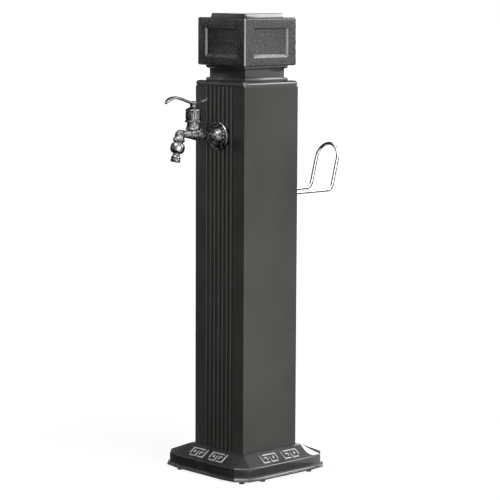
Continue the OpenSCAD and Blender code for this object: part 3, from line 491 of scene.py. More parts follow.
@dataclass(frozen=True)
class Finish:
    """One finish of the standpipe: two near colours, its gloss, its grain, its paler outer edges (a
    thinned coat and a painted highlight) and its painted shade in inner corners.
    """

    name: str
    slot: str
    deep: Colour
    pale: Colour
    rough: Flat
    metallic: float = 0.0
    specular: float = 0.5
    coat: float = 0.0
    coat_rough: float = 0.1
    grain_scale: float = 900.0
    grain_coarse: float = 0.3
    grain_depth: float = 0.02
    mottle_scale: float = 30.0
    speck: float = 0.0
    speck_span: Flat = (0.46, 0.68)
    carved: float = 0.0
    # Paler outer edges (a thinned coat and a painted highlight), their tone, painted shade in inner
    # corners and a painted highlight down upright corners.
    worn_and_painted_highlight: float = 0.0
    worn_and_highlight_tone: float = 0.4
    painted_crevice_shade: float = 0.35
    painted_corner_highlight: float = 0.0

    def build(self, effects: Effects) -> bpy.types.Material:
        """The finish as a material.

        Args:
            effects: the shared shader groups.

        Returns:
            The material.
        """
        material, wires, shader = blank_material(self.name)
        mottle = effects.use(wires, Effect.MOTTLE, Scale=self.mottle_scale)["Mask"]
        grain = effects.use(
            wires, Effect.GRAIN, Scale=self.grain_scale, Coarse=self.grain_coarse)["Height"]
        factor = mottle
        if self.speck > 0:
            factor = wires.mix(self.speck, mottle, wires.span(grain, *self.speck_span))
        colour = wires.mix(factor, (*self.deep, 1.0), (*self.pale, 1.0), "RGBA")
        if self.worn_and_painted_highlight > 0:
            colour = self._pale_edges_and_painted_shade(wires, effects, colour)
        normal = wires.bump(grain, self.grain_depth)
        if self.carved > 0:
            scroll = effects.use(wires, Effect.SCROLL)["Height"]
            normal = wires.bump(scroll, self.carved, Normal=normal)
        wires.feed(shader, {
            "Base Color": colour,
            "Roughness": wires.span(mottle, 0.0, 1.0, self.rough),
            "Normal": normal,
            "Metallic": self.metallic,
            "Specular IOR Level": self.specular,
            "Coat Weight": self.coat,
            "Coat Roughness": self.coat_rough,
        })
        return material

    def _pale_edges_and_painted_shade(self, wires: Wires, effects: Effects, colour: Socket) -> Socket:
        """A colour made paler on outer edges, for a thinned coat and a painted highlight, paler down
        upright corners as a painted highlight, and darker in inner corners as painted shade.
        """
        wear = effects.use(wires, Effect.WEAR)
        # Outer edges paler for a thinned coat and a painted highlight; upright corners paler as a
        # painted highlight.
        worn_and_painted_highlight = wires.maths("MULTIPLY", wear["Edge"], self.worn_and_painted_highlight)
        if self.painted_corner_highlight > 0:
            corner = wires.maths(
                "MULTIPLY", effects.use(wires, Effect.CORNER)["Mask"], self.painted_corner_highlight)
            worn_and_painted_highlight = wires.maths("MAXIMUM", corner, worn_and_painted_highlight)
        painted_paler = (self.worn_and_highlight_tone, self.worn_and_highlight_tone, self.worn_and_highlight_tone * 1.03, 1.0)
        # Inner corners darkened: painted shade.
        level = wires.span(wear["Open"], 0.0, 1.0, (self.painted_crevice_shade, 1.0))
        return wires.mix(level, (0, 0, 0, 1), wires.mix(worn_and_painted_highlight, colour, painted_paler, "RGBA"), "RGBA")


FINISHES: dict[str, Finish] = {
    "coat": Finish(
        "anthracite powder coat", "coat", (0.031, 0.031, 0.029), (0.041, 0.041, 0.039), (0.40, 0.50),
        specular=0.3, coat=0.1, coat_rough=0.2, grain_scale=1500.0, grain_depth=0.01,
        mottle_scale=14.0, speck=0.35,
    ),
    # Paler edges and upright corners here are painted highlight; inner corners get painted shade.
    "collar_coat": Finish(
        "anthracite coat with worn edges", "coat", (0.022, 0.022, 0.023), (0.050, 0.050, 0.052),
        (0.34, 0.44), specular=0.3, coat=0.8, grain_scale=420.0, grain_depth=0.4,
        mottle_scale=60.0, speck=0.8, worn_and_painted_highlight=0.35, worn_and_highlight_tone=0.36, painted_corner_highlight=0.5,
    ),
    # Paler edges here are painted highlight; inner corners get painted shade.
    "base_coat": Finish(
        "glossy anthracite casting", "coat", (0.014, 0.014, 0.015), (0.034, 0.034, 0.034), (0.34, 0.44),
        specular=0.4, coat=1.0, coat_rough=0.05, grain_scale=420.0, grain_depth=0.03,
        mottle_scale=60.0, speck=0.6, worn_and_painted_highlight=0.8, worn_and_highlight_tone=0.5,
    ),
    # Raised key lines painted pale: a painted highlight for their lit sides.
    "raised_lines_painted_highlight": Finish(
        "coat worn bright on raised lines", "coat", (0.40, 0.40, 0.42), (0.80, 0.80, 0.82), (0.28, 0.4),
        coat=0.4, coat_rough=0.15, grain_scale=500.0, grain_depth=0.05, mottle_scale=160.0, speck=0.6,
    ),
    # Paler edges and upright corners here are painted highlight; inner corners get painted shade.
    "cast_coat": Finish(
        "coated sand casting", "cast_coat", (0.005, 0.005, 0.005), (0.058, 0.058, 0.060), (0.34, 0.46),
        specular=0.35, coat=0.6, coat_rough=0.12, grain_scale=270.0, grain_coarse=0.1, grain_depth=1.8,
        mottle_scale=60.0, speck=0.9, speck_span=(0.45, 0.60), worn_and_painted_highlight=0.6, worn_and_highlight_tone=0.5, painted_corner_highlight=0.85,
    ),
    # Slightly paler edges here are painted highlight; inner corners get painted shade.
    "lid_coat": Finish(
        "glossy coated lid", "cast_coat", (0.008, 0.008, 0.008), (0.022, 0.022, 0.022), (0.3, 0.4),
        specular=0.4, coat=1.0, coat_rough=0.08, grain_scale=420.0, grain_depth=0.1,
        mottle_scale=60.0, speck=0.6, worn_and_painted_highlight=0.05,
    ),
    # Paler edges here are painted highlight; inner corners get painted shade.
    "bronze": Finish(
        "black bronze", "bronze", (0.07, 0.069, 0.068), (0.32, 0.317, 0.314), (0.2, 0.32),
        metallic=1.0, grain_scale=700.0, mottle_scale=150.0, worn_and_painted_highlight=0.35, worn_and_highlight_tone=0.5, painted_crevice_shade=0.15,
    ),
    # The lever's bronze is painted paler than the body's: a painted highlight for its lit look.
    "lever_bronze_painted_pale": Finish(
        "bronze rubbed pale by a_painted_highlight", "bronze", (0.17, 0.169, 0.167), (0.30, 0.298, 0.295),
        (0.30, 0.40), metallic=1.0, grain_scale=700.0, mottle_scale=60.0,
    ),
    "carved_bronze": Finish(
        "carved black bronze", "bronze", (0.06, 0.059, 0.058), (0.36, 0.357, 0.354), (0.2, 0.32),
        metallic=1.0, grain_scale=700.0, mottle_scale=150.0, carved=0.4,
    ),
    "steel": Finish(
        "zinc plated steel", "steel", (0.42, 0.42, 0.43), (0.58, 0.58, 0.59), (0.3, 0.45),
        metallic=1.0, grain_scale=600.0, grain_depth=0.01, mottle_scale=60.0,
    ),
    "chrome": Finish(
        "polished chrome", "chrome", (0.86, 0.86, 0.87), (0.91, 0.91, 0.92), (0.04, 0.09),
        metallic=1.0, grain_scale=400.0, grain_depth=0.002,
    ),
    "brass": Finish(
        "machined brass", "brass", (0.60, 0.44, 0.19), (0.72, 0.56, 0.28), (0.25, 0.4),
        metallic=1.0, grain_scale=500.0, grain_depth=0.01, mottle_scale=50.0,
    ),
    "pipe": Finish(
        "blue water pipe", "pipe", (0.02, 0.07, 0.22), (0.03, 0.09, 0.27), (0.4, 0.5), grain_depth=0.01),
    "plastic": Finish(
        "moulded plastic", "plastic", (0.52, 0.52, 0.50), (0.58, 0.58, 0.56), (0.45, 0.55)),
    "ceramic": Finish(
        "polished ceramic", "ceramic", (0.78, 0.78, 0.76), (0.84, 0.84, 0.82), (0.12, 0.2),
        grain_depth=0.002,
    ),
    "rubber": Finish(
        "black rubber", "rubber", (0.012, 0.012, 0.012), (0.022, 0.022, 0.022), (0.6, 0.75),
        grain_depth=0.03,
    ),
}


# The standpipe's sub-assemblies


@dataclass
class Maker:
    """What every sub-assembly needs: the finishes as materials."""

    paints: dict[str, bpy.types.Material]

    def hand_over(self, piece: Piece, body: str, paint: str, angle: float, *nodes: str) -> None:
        """Shades and dresses a finished piece and puts it on its body.

        Args:
            piece: the piece.
            body: the body that it rides on.
            paint: its finish.
            angle: edges sharper than this, in degrees, stay sharp.
            nodes: the source's solids that it stands for.
        """
        Bench.smooth(piece, angle)
        piece.data.materials.clear()
        piece.data.materials.append(self.paints[paint])
        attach(piece, body)
        if nodes:
            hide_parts(*nodes)
        LOG.info("%s: %d faces", piece.name, len(piece.data.polygons))


@dataclass
class Base(Maker):
    """The cast base with its Greek keys. Sizes in millimetres."""

    foot: float = 3.0
    lip_half: float = 114.0
    lip_round: float = 0.5
    lip_low: float = 0.6
    lip_high: float = 2.8
    lip_inside: float = 4.0
    cove_in: float = 2.9
    cove_low: float = 3.4
    cove_high: float = 6.6
    band_half: float = 110.6
    ledge_half: float = 71.0
    inner_half: float = 65.3
    edge_z: float = 27.5
    top_z: float = 42.0
    corner_cut: float = 23.0
    side_in: float = 4.0
    flat_share: float = 0.53
    wall: float = 5.0
    inner_slope: float = 3.0
    edge_round: float = 2.6
    edge_turn: float = 68.0
    slope_shares: tuple[float, ...] = (0.04, 0.96, 1.0)
    key_l: float = 39.0
    key_depth: float = 24.6
    key_high: float = 1.3
    key_sunk: float = 0.5
    key_slant: float = 14.5
    key_gap_half: float = 6.2
    key_start_share: float = 0.24
    key_grid: tuple[int, int] = (30, 18)
    key_bars: tuple[tuple[Flat, Flat], ...] = (
        ((0, 0), (0, 8)), ((0, 0), (5, 0)), ((3, 8), (14, 8)), ((14, 8), (14, 2.5)),
        ((7.5, 5), (7.5, 0)), ((7.5, 0), (12.5, 0)), ((3, 5), (5, 5)), ((5, 5), (5, 3)),
        ((10.5, 5), (11, 3.5)),
    )

    @staticmethod
    def all_round(side: Sequence[Flat], z: float) -> Ring:
        """A ring of one side's points, turned to each of the four sides."""
        ring: Ring = []
        for turn in range(4):
            c, s = math.cos(math.radians(90 * turn)), math.sin(math.radians(90 * turn))
            ring += [(x * c - y * s, x * s + y * c, z) for x, y in side]
        return ring

    def outline(self, half: float, z: float) -> Ring:
        """The base's outline at a half width and a height."""
        flat = self.flat_share * half
        near, far = half - self.side_in, half - self.corner_cut
        return self.all_round(((half, -flat), (half, flat), (near, far), (far, near)), z)

    def square(self, half: float, z: float) -> Ring:
        """A square ring whose points lie on its corners, to meet the outline's points."""
        return self.all_round(((half, -half), (half, half), (half, half), (half, half)), z)

    def casting(self) -> None:
        """The hollow cover: lip, cove, band, rounded edge, four slopes and the ledge at the column."""
        z, wall = self.foot, self.wall
        rings = [
            self.outline(self.lip_half - wall, z), self.outline(self.lip_half - self.lip_round, z),
            self.outline(self.lip_half, z + self.lip_low),
            self.outline(self.lip_half, z + self.lip_high),
        ]
        rings += [
            self.outline(
                self.lip_half - self.lip_round - self.cove_in * s,
                z + self.cove_low + self.cove_high * (1 - c))
            for c, s in arc(4)
        ]
        rings += [
            self.outline(
                self.band_half - self.edge_round * (1 - c),
                self.edge_z - self.edge_round + self.edge_round * s)
            for c, s in arc(4, 0.0, self.edge_turn)
        ]
        edge, ledge = rings[-1], self.square(self.ledge_half, self.top_z)
        for share in self.slope_shares:
            rings.append([
                tuple(a + (b - a) * share for a, b in zip(start, end, strict=True))
                for start, end in zip(edge, ledge, strict=True)
            ])
        inner = self.band_half - wall
        rings += [
            self.square(self.inner_half, self.top_z), self.square(self.inner_half, self.top_z - wall),
            self.outline(inner - self.inner_slope, self.edge_z - wall),
            self.outline(inner, self.edge_z - wall - self.inner_slope),
            self.outline(self.lip_half - wall, z + self.lip_inside),
        ]
        casting = Bench.loft("base_casting", rings, closed=True)
        Bench.bevel(casting, 0.7, angle=12)
        self.hand_over(casting, "standpipe", "base_coat", 24, "base_plinth")

    def key_cells(self) -> set[tuple[int, int]]:
        """The half cells of one key panel under its raised line, as columns and rows from the rim."""
        cells: set[tuple[int, int]] = set()
        for (c0, r0), (c1, r1) in self.key_bars:
            for column in range(round(2 * min(c0, c1)), round(2 * max(c0, c1)) + 2):
                for row in range(round(2 * min(r0, r1)), round(2 * max(r0, r1)) + 2):
                    cells.add((column, row))
        return cells

    def key_panel(self, name: str, start: float) -> Piece:
        """One key panel on the slope of the +X side: a grid, cut to the line and raised.

        Args:
            name: the panel's name.
            start: where it starts along the side, in millimetres.

        Returns:
            The panel.
        """
        Bench.clear()
        across, down = self.key_grid
        bpy.ops.mesh.primitive_grid_add(x_subdivisions=across, y_subdivisions=down, size=1.0)
        panel = bpy.context.object
        panel.name = name
        cells = self.key_cells()
        bpy.context.tool_settings.mesh_select_mode = (False, False, True)
        for part in (*panel.data.vertices, *panel.data.edges):
            part.select = False
        for face in panel.data.polygons:
            cell = (int((face.center.x + 0.5) * across), int((face.center.y + 0.5) * down))
            face.select = cell not in cells
        bpy.ops.object.mode_set(mode="EDIT")
        bpy.ops.mesh.delete(type="FACE")
        bpy.ops.mesh.select_all(action="SELECT")
        bpy.ops.mesh.dissolve_limited(angle_limit=math.radians(1))
        bpy.ops.mesh.select_all(action="SELECT")
        bpy.ops.mesh.extrude_region_move(TRANSFORM_OT_translate={"value": (0, 0, 1.0)})
        bpy.ops.object.mode_set(mode="OBJECT")
        run = self.band_half - self.edge_round - self.ledge_half
        drop = self.top_z - self.edge_z
        slope = math.atan2(drop, run)
        slant = math.tan(math.radians(self.key_slant))
        at_r = self.ledge_half + self.key_start_share * run
        at_z = self.top_z - self.key_start_share * drop
        for vert in panel.data.vertices:
            down_slope = (0.5 - vert.co.y) * self.key_depth
            along = start + (vert.co.x + 0.5) * self.key_l + slant * (self.key_depth / 2 - down_slope)
            lift = vert.co.z * (self.key_high + self.key_sunk) - self.key_sunk
            vert.co = Vector((
                at_r + down_slope * math.cos(slope) + lift * math.sin(slope), along,
                at_z - down_slope * math.sin(slope) + lift * math.cos(slope),
            )) * MM
        return panel

    def keys(self) -> None:
        """Two key panels on each of the four slopes, as one piece a side."""
        sides: tuple[tuple[str, Callable[[float, float], Flat]], ...] = (
            ("right", lambda x, y: (x, y)), ("left", lambda x, y: (-x, y)),
            ("back", lambda x, y: (-y, x)), ("front", lambda x, y: (-y, -x)),
        )
        starts = (-self.key_gap_half - self.key_l, self.key_gap_half)
        for side, turned in sides:
            panels = [self.key_panel(f"key_{side}_{i}", start) for i, start in enumerate(starts)]
            piece = Bench.join(f"base_keys_{side}", panels)
            for vert in piece.data.vertices:
                vert.co.x, vert.co.y = turned(vert.co.x, vert.co.y)
            Bench.close(piece)
            Bench.bevel(piece, 0.4, angle=40)
            # The key lines take the pale finish that paints their highlight.
            self.hand_over(piece, "standpipe", "raised_lines_painted_highlight", 50)

    def build(self) -> None:
        """Builds the base."""
        self.casting()
        self.keys()


@dataclass
class Column(Maker):
    """The fluted column. Sizes in millimetres."""

    half: float = 65.0
    bottom_z: float = 6.0
    top_z: float = 695.0
    corner: float = 0.9
    corner_steps: int = 3
    flutes: int = 7
    pitch: float = 10.9
    flute_half: float = 3.25
    flute_r: float = 3.4
    flute_out: float = 1.0
    flute_steps: int = 8

    def section(self, z: float) -> Ring:
        """The column's section at a height: square, with flutes in the -Y side."""
        ring = rounded_square(self.half, self.corner, z, steps=self.corner_steps)
        before_front = 3 * (self.corner_steps + 1)
        front: Ring = []
        edge = math.degrees(math.asin(self.flute_half / self.flute_r))
        for i in range(self.flutes):
            centre = (i - (self.flutes - 1) / 2) * self.pitch
            for c, s in arc(self.flute_steps, -edge, edge):
                y = -self.half - self.flute_out + self.flute_r * c
                front.append((centre + self.flute_r * s, max(y, -self.half), z))
        return ring[:before_front] + front + ring[before_front:]

    def build(self) -> None:
        """Builds the column's shell."""
        shell = Bench.loft("column_shell", [self.section(self.bottom_z), self.section(self.top_z)])
        self.hand_over(shell, "standpipe", "coat", 40, "column_tube")


@dataclass
class Cap(Maker):
    """The collar, the neck, the panelled box and the lid. Sizes in millimetres."""

    collar_z: float = 695.0
    collar_half: float = 66.0
    collar_in: float = 60.0
    collar_round: float = 5.5
    collar_corner: float = 0.5
    screw_at: float = 58.5
    neck_z: float = 705.0
    box_z: float = 732.0
    box_half: float = 63.0
    box_corner: float = 4.0
    box_round: float = 3.2
    box_tighter: float = 0.6
    lid_z: float = 816.5
    lid_half: float = 43.6
    lid_foot: Flat = (47.0, 4.2)
    lid_flat: Flat = (42.4, 0.6)
    lid_corner: float = 0.8
    lid_round: float = 1.8
    lid_turn: float = 20.0
    top_z: float = 824.0
    panel_half: float = 41.2
    panel_half_h: float = 26.0
    panel_depth: float = 3.8
    panel_slope: float = 1.9
    panel_sill: float = 5.5
    panel_drop: float = 1.5
    collar_steps: Table = ((64.6, 0.0), (64.6, 1.7), (65.5, 1.9), (66.0, 2.4))
    sink_steps: Table = ((2.7, 700.0), (2.7, 702.8), (4.6, 704.6), (4.6, 707.0))
    neck_steps: Table = (
        (51.4, 705.0), (52.0, 705.5), (52.0, 708.6), (51.5, 709.6), (50.4, 710.0), (47.4, 710.3),
        (47.25, 711.0), (47.25, 725.4), (47.6, 726.0), (48.8, 726.1), (50.6, 726.9), (51.7, 728.2),
        (52.0, 729.6), (52.0, 732.0),
    )

    def collar(self) -> None:
        """The rounded plate on the column, with a countersink for each corner screw."""
        rings = [
            rounded_square(half, half - self.collar_in, self.collar_z + up)
            for half, up in self.collar_steps
        ]
        edge, corner = self.collar_round, self.collar_corner
        flat = self.collar_half - edge
        rings += [
            rounded_square(flat + edge * c, corner + edge * c, self.neck_z - edge + edge * s)
            for c, s in arc(7)
        ]
        collar = Bench.loft("collar", rings)
        for x in (-self.screw_at, self.screw_at):
            for y in (-self.screw_at, self.screw_at):
                sink = placed(circles(self.sink_steps, 32), Matrix.Translation((x, y, 0)))
                Bench.cut(collar, Bench.loft("sink", sink))
        self.hand_over(collar, "standpipe", "collar_coat", 35, "collar_plate")

    def neck(self) -> None:
        """The neck with a moulding at each end."""
        neck = Bench.loft("neck", [rounded_square(half, 0.8, z, steps=2) for half, z in self.neck_steps])
        self.hand_over(neck, "standpipe", "collar_coat", 35, "neck_casting")

    def box_ring(self, inwards: float, z: float) -> Ring:
        """The box's outline where its rounded edge runs in by a share of its radius."""
        drawn = self.box_round * inwards
        return rounded_square(self.box_half - drawn, self.box_corner - self.box_tighter * drawn, z)

    def box(self) -> None:
        """The box: a rounded block with a sunk, bevelled panel in each side."""
        half, edge = self.box_half, self.box_round
        rings = [self.box_ring(1 - s, self.box_z + edge * (1 - c)) for c, s in arc(3)]
        rings += [self.box_ring(1 - c, self.lid_z - edge * (1 - s)) for c, s in arc(4)]
        box = Bench.loft("cap_box_casting", rings)
        middle = (self.box_z + self.lid_z) / 2 - self.panel_drop
        for turn in range(4):
            faces: list[Ring] = []
            for x, share in ((half - self.panel_depth, -1.0), (half + 1.0, 1.0 / self.panel_depth)):
                y = self.panel_half + share * self.panel_slope
                high = middle + self.panel_half_h + share * self.panel_slope
                low = middle - self.panel_half_h - share * self.panel_sill
                faces.append([(x, -y, low), (x, y, low), (x, y, high), (x, -y, high)])
            quarter = Matrix.Rotation(math.radians(90 * turn), 4, "Z")
            Bench.cut(box, Bench.loft("panel_tool", placed(faces, quarter)))
        Bench.bevel(box, 0.55, angle=24)
        self.hand_over(box, "standpipe", "cast_coat", 40, "cap_box")

    def lid(self) -> None:
        """The raised square on top."""
        edge, half, corner = self.lid_round, self.lid_half, self.lid_corner
        rings = [rounded_square(*self.lid_foot, self.lid_z + up) for up in (-4.0, 1.0)]
        rings += [
            rounded_square(half + edge * c, corner + edge * c, self.top_z - edge + edge * s)
            for c, s in arc(4, self.lid_turn)
        ]
        rings.append(rounded_square(*self.lid_flat, self.top_z))
        lid = Bench.loft("lid", rings)
        self.hand_over(lid, "standpipe", "lid_coat", 35, "cap_lid")

    def build(self) -> None:
        """Builds the cap."""
        self.collar()
        self.neck()
        self.box()
        self.lid()


@dataclass
class Tap(Maker):
    """The bib tap: flange, body, bonnet, lever and hose union. Sizes in millimetres."""

    axis_z: float = 608.0
    face_y: float = -65.0
    spindle_y: float = -127.0
    knuckle: Flat = (-158.0, 615.0)
    lean: float = 13.0
    flange_leaves: int = 8
    bonnet_lobes: int = 5
    nut_r: float = 12.9
    nut_flat: float = 0.935
    leaf_flatness: float = 1.4
    lever_z: float = 668.3
    lever_front: float = 65.0
    lever_back: float = 33.0
    lever_rise: float = 11.0
    lever_half: float = 8.5
    lever_thick: float = 4.8
    lever_thinner: float = 1.3
    lever_rings: int = 58
    lever_foot: float = 3.0
    tip_shares: Flat = (0.35, 0.5)
    under_shares: Flat = (0.85, 0.3)
    crown_share: float = 0.4
    blade_power: float = 0.75
    rib_high: float = 0.35
    rib_half: float = 1.4
    slot_half: float = 0.45
    slot_reach: float = 4.5
    slot_heights: Flat = (3.6, 5.5)
    flange_steps: tuple[Point, ...] = (
        (24.6, 0.1, 0), (25.3, 0.3, 0), (25.5, 1.0, 0), (25.5, 4.0, 0), (25.3, 5.0, 0), (24.7, 5.9, 0),
        (23.8, 6.5, 0), (22.8, 6.8, 0), (21.9, 6.7, 0), (21.3, 6.1, 0), (20.8, 5.7, 0.2),
        (20.0, 6.0, 0.9), (19.0, 6.5, 1.3), (17.9, 6.9, 1.4), (16.8, 7.2, 1.3), (15.9, 7.4, 0.8),
        (15.3, 7.5, 0.2), (14.9, 7.4, 0), (14.5, 8.0, 0), (13.9, 8.5, 0), (13.2, 8.8, 0),
        (12.7, 9.3, 0), (12.2, 10.0, 0), (10.8, 10.0, 0), (10.8, 8.0, 0),
    )
    pipe_path: tuple[tuple[float, ...], ...] = (
        (-75.4, 608.0, 12.0, 12.0), (-76.6, 608.0, 11.6, 11.6), (-78.4, 608.0, 9.6, 9.6),
        (-81.0, 608.0, 8.3, 8.3), (-88.0, 608.1, 7.9, 7.9), (-93.0, 608.7, 8.0, 8.1),
        (-98.0, 609.7, 8.4, 8.8), (-104.0, 611.0, 9.2, 9.7), (-111.0, 612.4, 10.2, 10.8),
        (-118.0, 613.6, 11.0, 11.2), (-127.0, 614.6, 11.4, 10.6), (-134.0, 614.7, 9.0, 8.6),
        (-140.0, 614.5, 7.2, 7.0), (-147.0, 615.0, 6.4, 6.5), (-153.0, 615.6, 6.6, 7.2),
        (-158.0, 615.6, 6.8, 7.2), (-162.0, 614.6, 5.4, 5.0),
    )
    neck_steps: Table = (
        (6.0, 0.0), (9.6, 2.4), (11.2, 6.0), (11.9, 10.0), (12.6, 13.4), (13.6, 14.6), (13.7, 15.6),
        (12.9, 16.8), (12.3, 18.6), (11.8, 21.0), (11.2, 24.0), (11.0, 28.0), (11.0, 34.0),
    )
    drop_steps: Table = (
        (2.0, -8.4), (5.4, -6.6), (7.8, -3.6), (8.6, 0.0), (8.7, 3.0), (8.9, 6.0), (9.6, 7.4),
        (10.6, 8.0), (10.7, 9.4), (10.6, 11.6), (9.8, 12.5), (8.4, 12.8), (8.3, 16.0), (8.3, 25.0),
    )
    leaf_path: tuple[tuple[float, ...], ...] = (
        (-141.0, 616.4, 7.0, 0.6), (-136.5, 617.2, 9.2, 1.5), (-131.0, 618.0, 11.4, 2.0),
        (-125.0, 619.4, 12.6, 2.1), (-119.0, 621.8, 12.4, 1.8), (-114.0, 624.4, 10.4, 1.3),
        (-110.5, 626.4, 7.6, 0.6),
    )
    bonnet_steps: tuple[Point, ...] = (
        (11.2, 27.0, 0), (14.6, 27.0, 0), (15.05, 27.5, 0), (15.05, 29.6, 0), (14.6, 30.3, 0),
        (13.5, 30.6, 0), (13.2, 31.4, 0), (13.55, 32.6, 0.25), (13.75, 34.6, 0.45), (13.8, 38.0, 0.5),
        (13.8, 41.5, 0.5), (13.75, 44.0, 0.4), (13.5, 45.4, 0.2), (13.3, 46.2, 0), (14.25, 46.9, 0),
        (14.25, 48.6, 0), (13.7, 49.6, 0), (12.2, 50.4, 0), (10.4, 51.6, 0), (8.4, 52.6, 0),
        (7.0, 53.2, 0), (6.2, 53.6, 0), (4.3, 53.6, 0), (4.3, 52.0, 0),
    )
    lever_top: Table = (
        (-1, 0.05), (-0.93, 0.45), (-0.82, 0.82), (-0.72, 0.98), (-0.62, 1), (-0.48, 0.85), (-0.3, 0.52),
        (-0.15, 0.22), (0, 0.05), (0.2, 0.02), (0.45, 0.12), (0.7, 0.3), (0.9, 0.48), (1, 0.55),
    )
    lever_plan: Table = (
        (-1, 0.1), (-0.97, 0.42), (-0.9, 0.74), (-0.78, 0.97), (-0.68, 1), (-0.55, 0.88), (-0.4, 0.68),
        (-0.26, 0.62), (-0.13, 0.9), (0, 0.97), (0.22, 0.8), (0.45, 0.6), (0.68, 0.68), (0.85, 0.66),
        (0.95, 0.45), (1, 0.12),
    )
    hub_steps: Table = ((6.0, -6.4), (6.3, -6.0), (6.0, -4.4), (6.2, -2.6), (7.4, -0.8), (8.2, 0.4))
    screw_steps: Table = ((3.6, 1.7), (3.6, 2.9), (3.3, 3.7), (2.4, 4.2), (0.9, 4.4))
    nut_steps: Table = (
        (8.7, 16.0), (10.3, 16.0), (10.9, 16.5), (11.5, 17.6), (12.5, 20.0), (12.9, 22.4), (12.9, 25.0),
        (12.6, 27.4), (11.8, 29.8), (10.4, 31.4), (9.4, 32.4), (8.9, 33.0), (6.5, 33.0), (6.5, 31.0),
    )
    tail_steps: Table = (
        (5.0, 26.5), (8.2, 26.5), (8.2, 28.5), (6.3, 28.6), (6.3, 36.6), (6.5, 38.0), (7.0, 38.6),
        (8.3, 39.4), (8.7, 40.4), (8.0, 42.2), (7.8, 42.8), (8.5, 43.2), (8.8, 44.0), (8.8, 47.4),
        (8.4, 48.4), (7.5, 49.0), (5.6, 49.0), (5.0, 48.4), (5.0, 38.0),
    )

    def on_pipe(self) -> Matrix:
        """A place whose Z runs out of the column along the pipe."""
        tilt = Matrix.Rotation(math.radians(90), 4, "X")
        return Matrix.Translation((0, self.face_y, self.axis_z)) @ tilt

    def on_spindle(self, z: float = 0.0) -> Matrix:
        """A place at a height on the spindle's axis."""
        return Matrix.Translation((0, self.spindle_y, z))

    def on_outlet(self) -> Matrix:
        """A place at the knuckle, with Z along the flow."""
        tilt = Matrix.Rotation(math.radians(180 - self.lean), 4, "X")
        return Matrix.Translation((0, *self.knuckle)) @ tilt

    def flange(self) -> None:
        """The wall flange: turned steps with a ring of carved leaves between two beads."""
        def petal(radius: float, depth: float, angle: float) -> Flat:
            """Raises the leaves, which lean a little round the axis."""
            wave = abs(math.sin(self.flange_leaves * angle + (radius - 18) * 0.3))
            return radius, depth * (wave ** 0.6 * 1.3 - 0.8)

        rings = carved(self.flange_steps, 144, petal)
        flange = Bench.loft("flange", placed(rings, self.on_pipe()), cap=False)
        self.hand_over(flange, "standpipe", "bronze", 40, "wall_flange")

    @staticmethod
    def sweep(name: str, path: Sequence[tuple[float, ...]], count: int) -> Piece:
        """A tube of changing size along a line.

        Args:
            name: its name.
            path: y, z, place across, half width across and half height at each point.
            count: points of each ring.

        Returns:
            The tube.
        """
        rings: list[Ring] = []
        for i, (y, z, across, wide, high) in enumerate(path):
            before, after = path[max(i - 1, 0)], path[min(i + 1, len(path) - 1)]
            run = Vector((0, after[0] - before[0], after[1] - before[1])).normalized()
            up = run.cross(Vector((1, 0, 0))) * high
            rings.append([
                tuple(Vector((across + u * wide, y, z)) + up * v) for u, v, _ in circle(1.0, 0, count)
            ])
        return Bench.loft(name, rings)

    def body(self) -> None:
        """The body: pipe, neck, arm, knuckle and two raised leaves, run together as one casting."""
        pipe = self.sweep("pipe", [(y, z, 0.0, wide, high) for y, z, wide, high in self.pipe_path], 40)
        neck = Bench.loft("neck_part", placed(circles(self.neck_steps), self.on_spindle(self.axis_z)))
        drop = Bench.loft("drop_part", placed(circles(self.drop_steps, 48), self.on_outlet()))
        leaves = [
            self.sweep(f"leaf_{side}", [
                (y, z, side * x, self.leaf_flatness * r, r) for y, z, x, r in self.leaf_path], 16)
            for side in (-1, 1)
        ]
        body = Bench.join("tap_casting", [pipe, neck, drop, *leaves])
        Bench.melt(body, 0.45, 0.6, 4)
        self.hand_over(body, "standpipe", "carved_bronze", 60, "tap_body")

    def bonnet(self) -> None:
        """The bonnet: a lobed nut between a foot ring and a dome."""
        def lobe(radius: float, depth: float, angle: float) -> Flat:
            """Draws the radius in between the lobes."""
            return radius - depth * (1 - abs(math.sin(self.bonnet_lobes * angle)) ** 0.7), 0.0

        rings = carved(self.bonnet_steps, 128, lobe)
        bonnet = Bench.loft("bonnet_nut", placed(rings, self.on_spindle(self.axis_z)), cap=False)
        self.hand_over(bonnet, "standpipe", "bronze", 35, "bonnet")

    def blade_ring(self, share: float, tip: bool) -> Ring:
        """The blade's section across its arms.

        Args:
            share: -1 at the front tip, 0 at the spindle and 1 at the rear tip.
            tip: whether it is drawn in as a tip.

        Returns:
            The ring.
        """
        y = share * (self.lever_front if share < 0 else self.lever_back)
        z = self.lever_z + self.lever_foot + read(self.lever_top, share) * self.lever_rise
        narrow, thin = self.tip_shares if tip else (1.0, 1.0)
        wide = self.lever_half * read(self.lever_plan, share, eased=True) * narrow
        thick = (self.lever_thick - self.lever_thinner * max(share, 0.0)) * thin
        side, belly = self.under_shares
        ring: Ring = []
        for c, s, _ in circle(1.0, 0, 24):
            x = wide * math.copysign(abs(c) ** self.blade_power, c)
            crown = (1 - min(1.0, abs(x / max(wide, 0.01))) ** 2) ** 0.5
            if s >= 0:
                rib = self.rib_high * math.exp(-((x / self.rib_half) ** 2)) * (1 - share * share)
                ring.append((x, y, z - self.rib_high + rib - self.crown_share * thick * (1 - crown)))
            else:
                ring.append((x, y, z - thick * (side + belly * crown)))
        return ring

    def lever(self) -> None:
        """The leaf-shaped lever with its raised midrib and its hub."""
        last = self.lever_rings
        rings = [self.blade_ring(-1 + 2 * i / last, i in (0, last)) for i in range(last + 1)]
        blade = Bench.loft("blade", placed(rings, self.on_spindle()))
        rings = circles(self.hub_steps, 48, self.lever_z)
        hub = Bench.loft("hub", placed(rings, self.on_spindle()))
        lever = Bench.join("lever_casting", [blade, hub])
        Bench.melt(lever, 0.4, 0.5, 3)
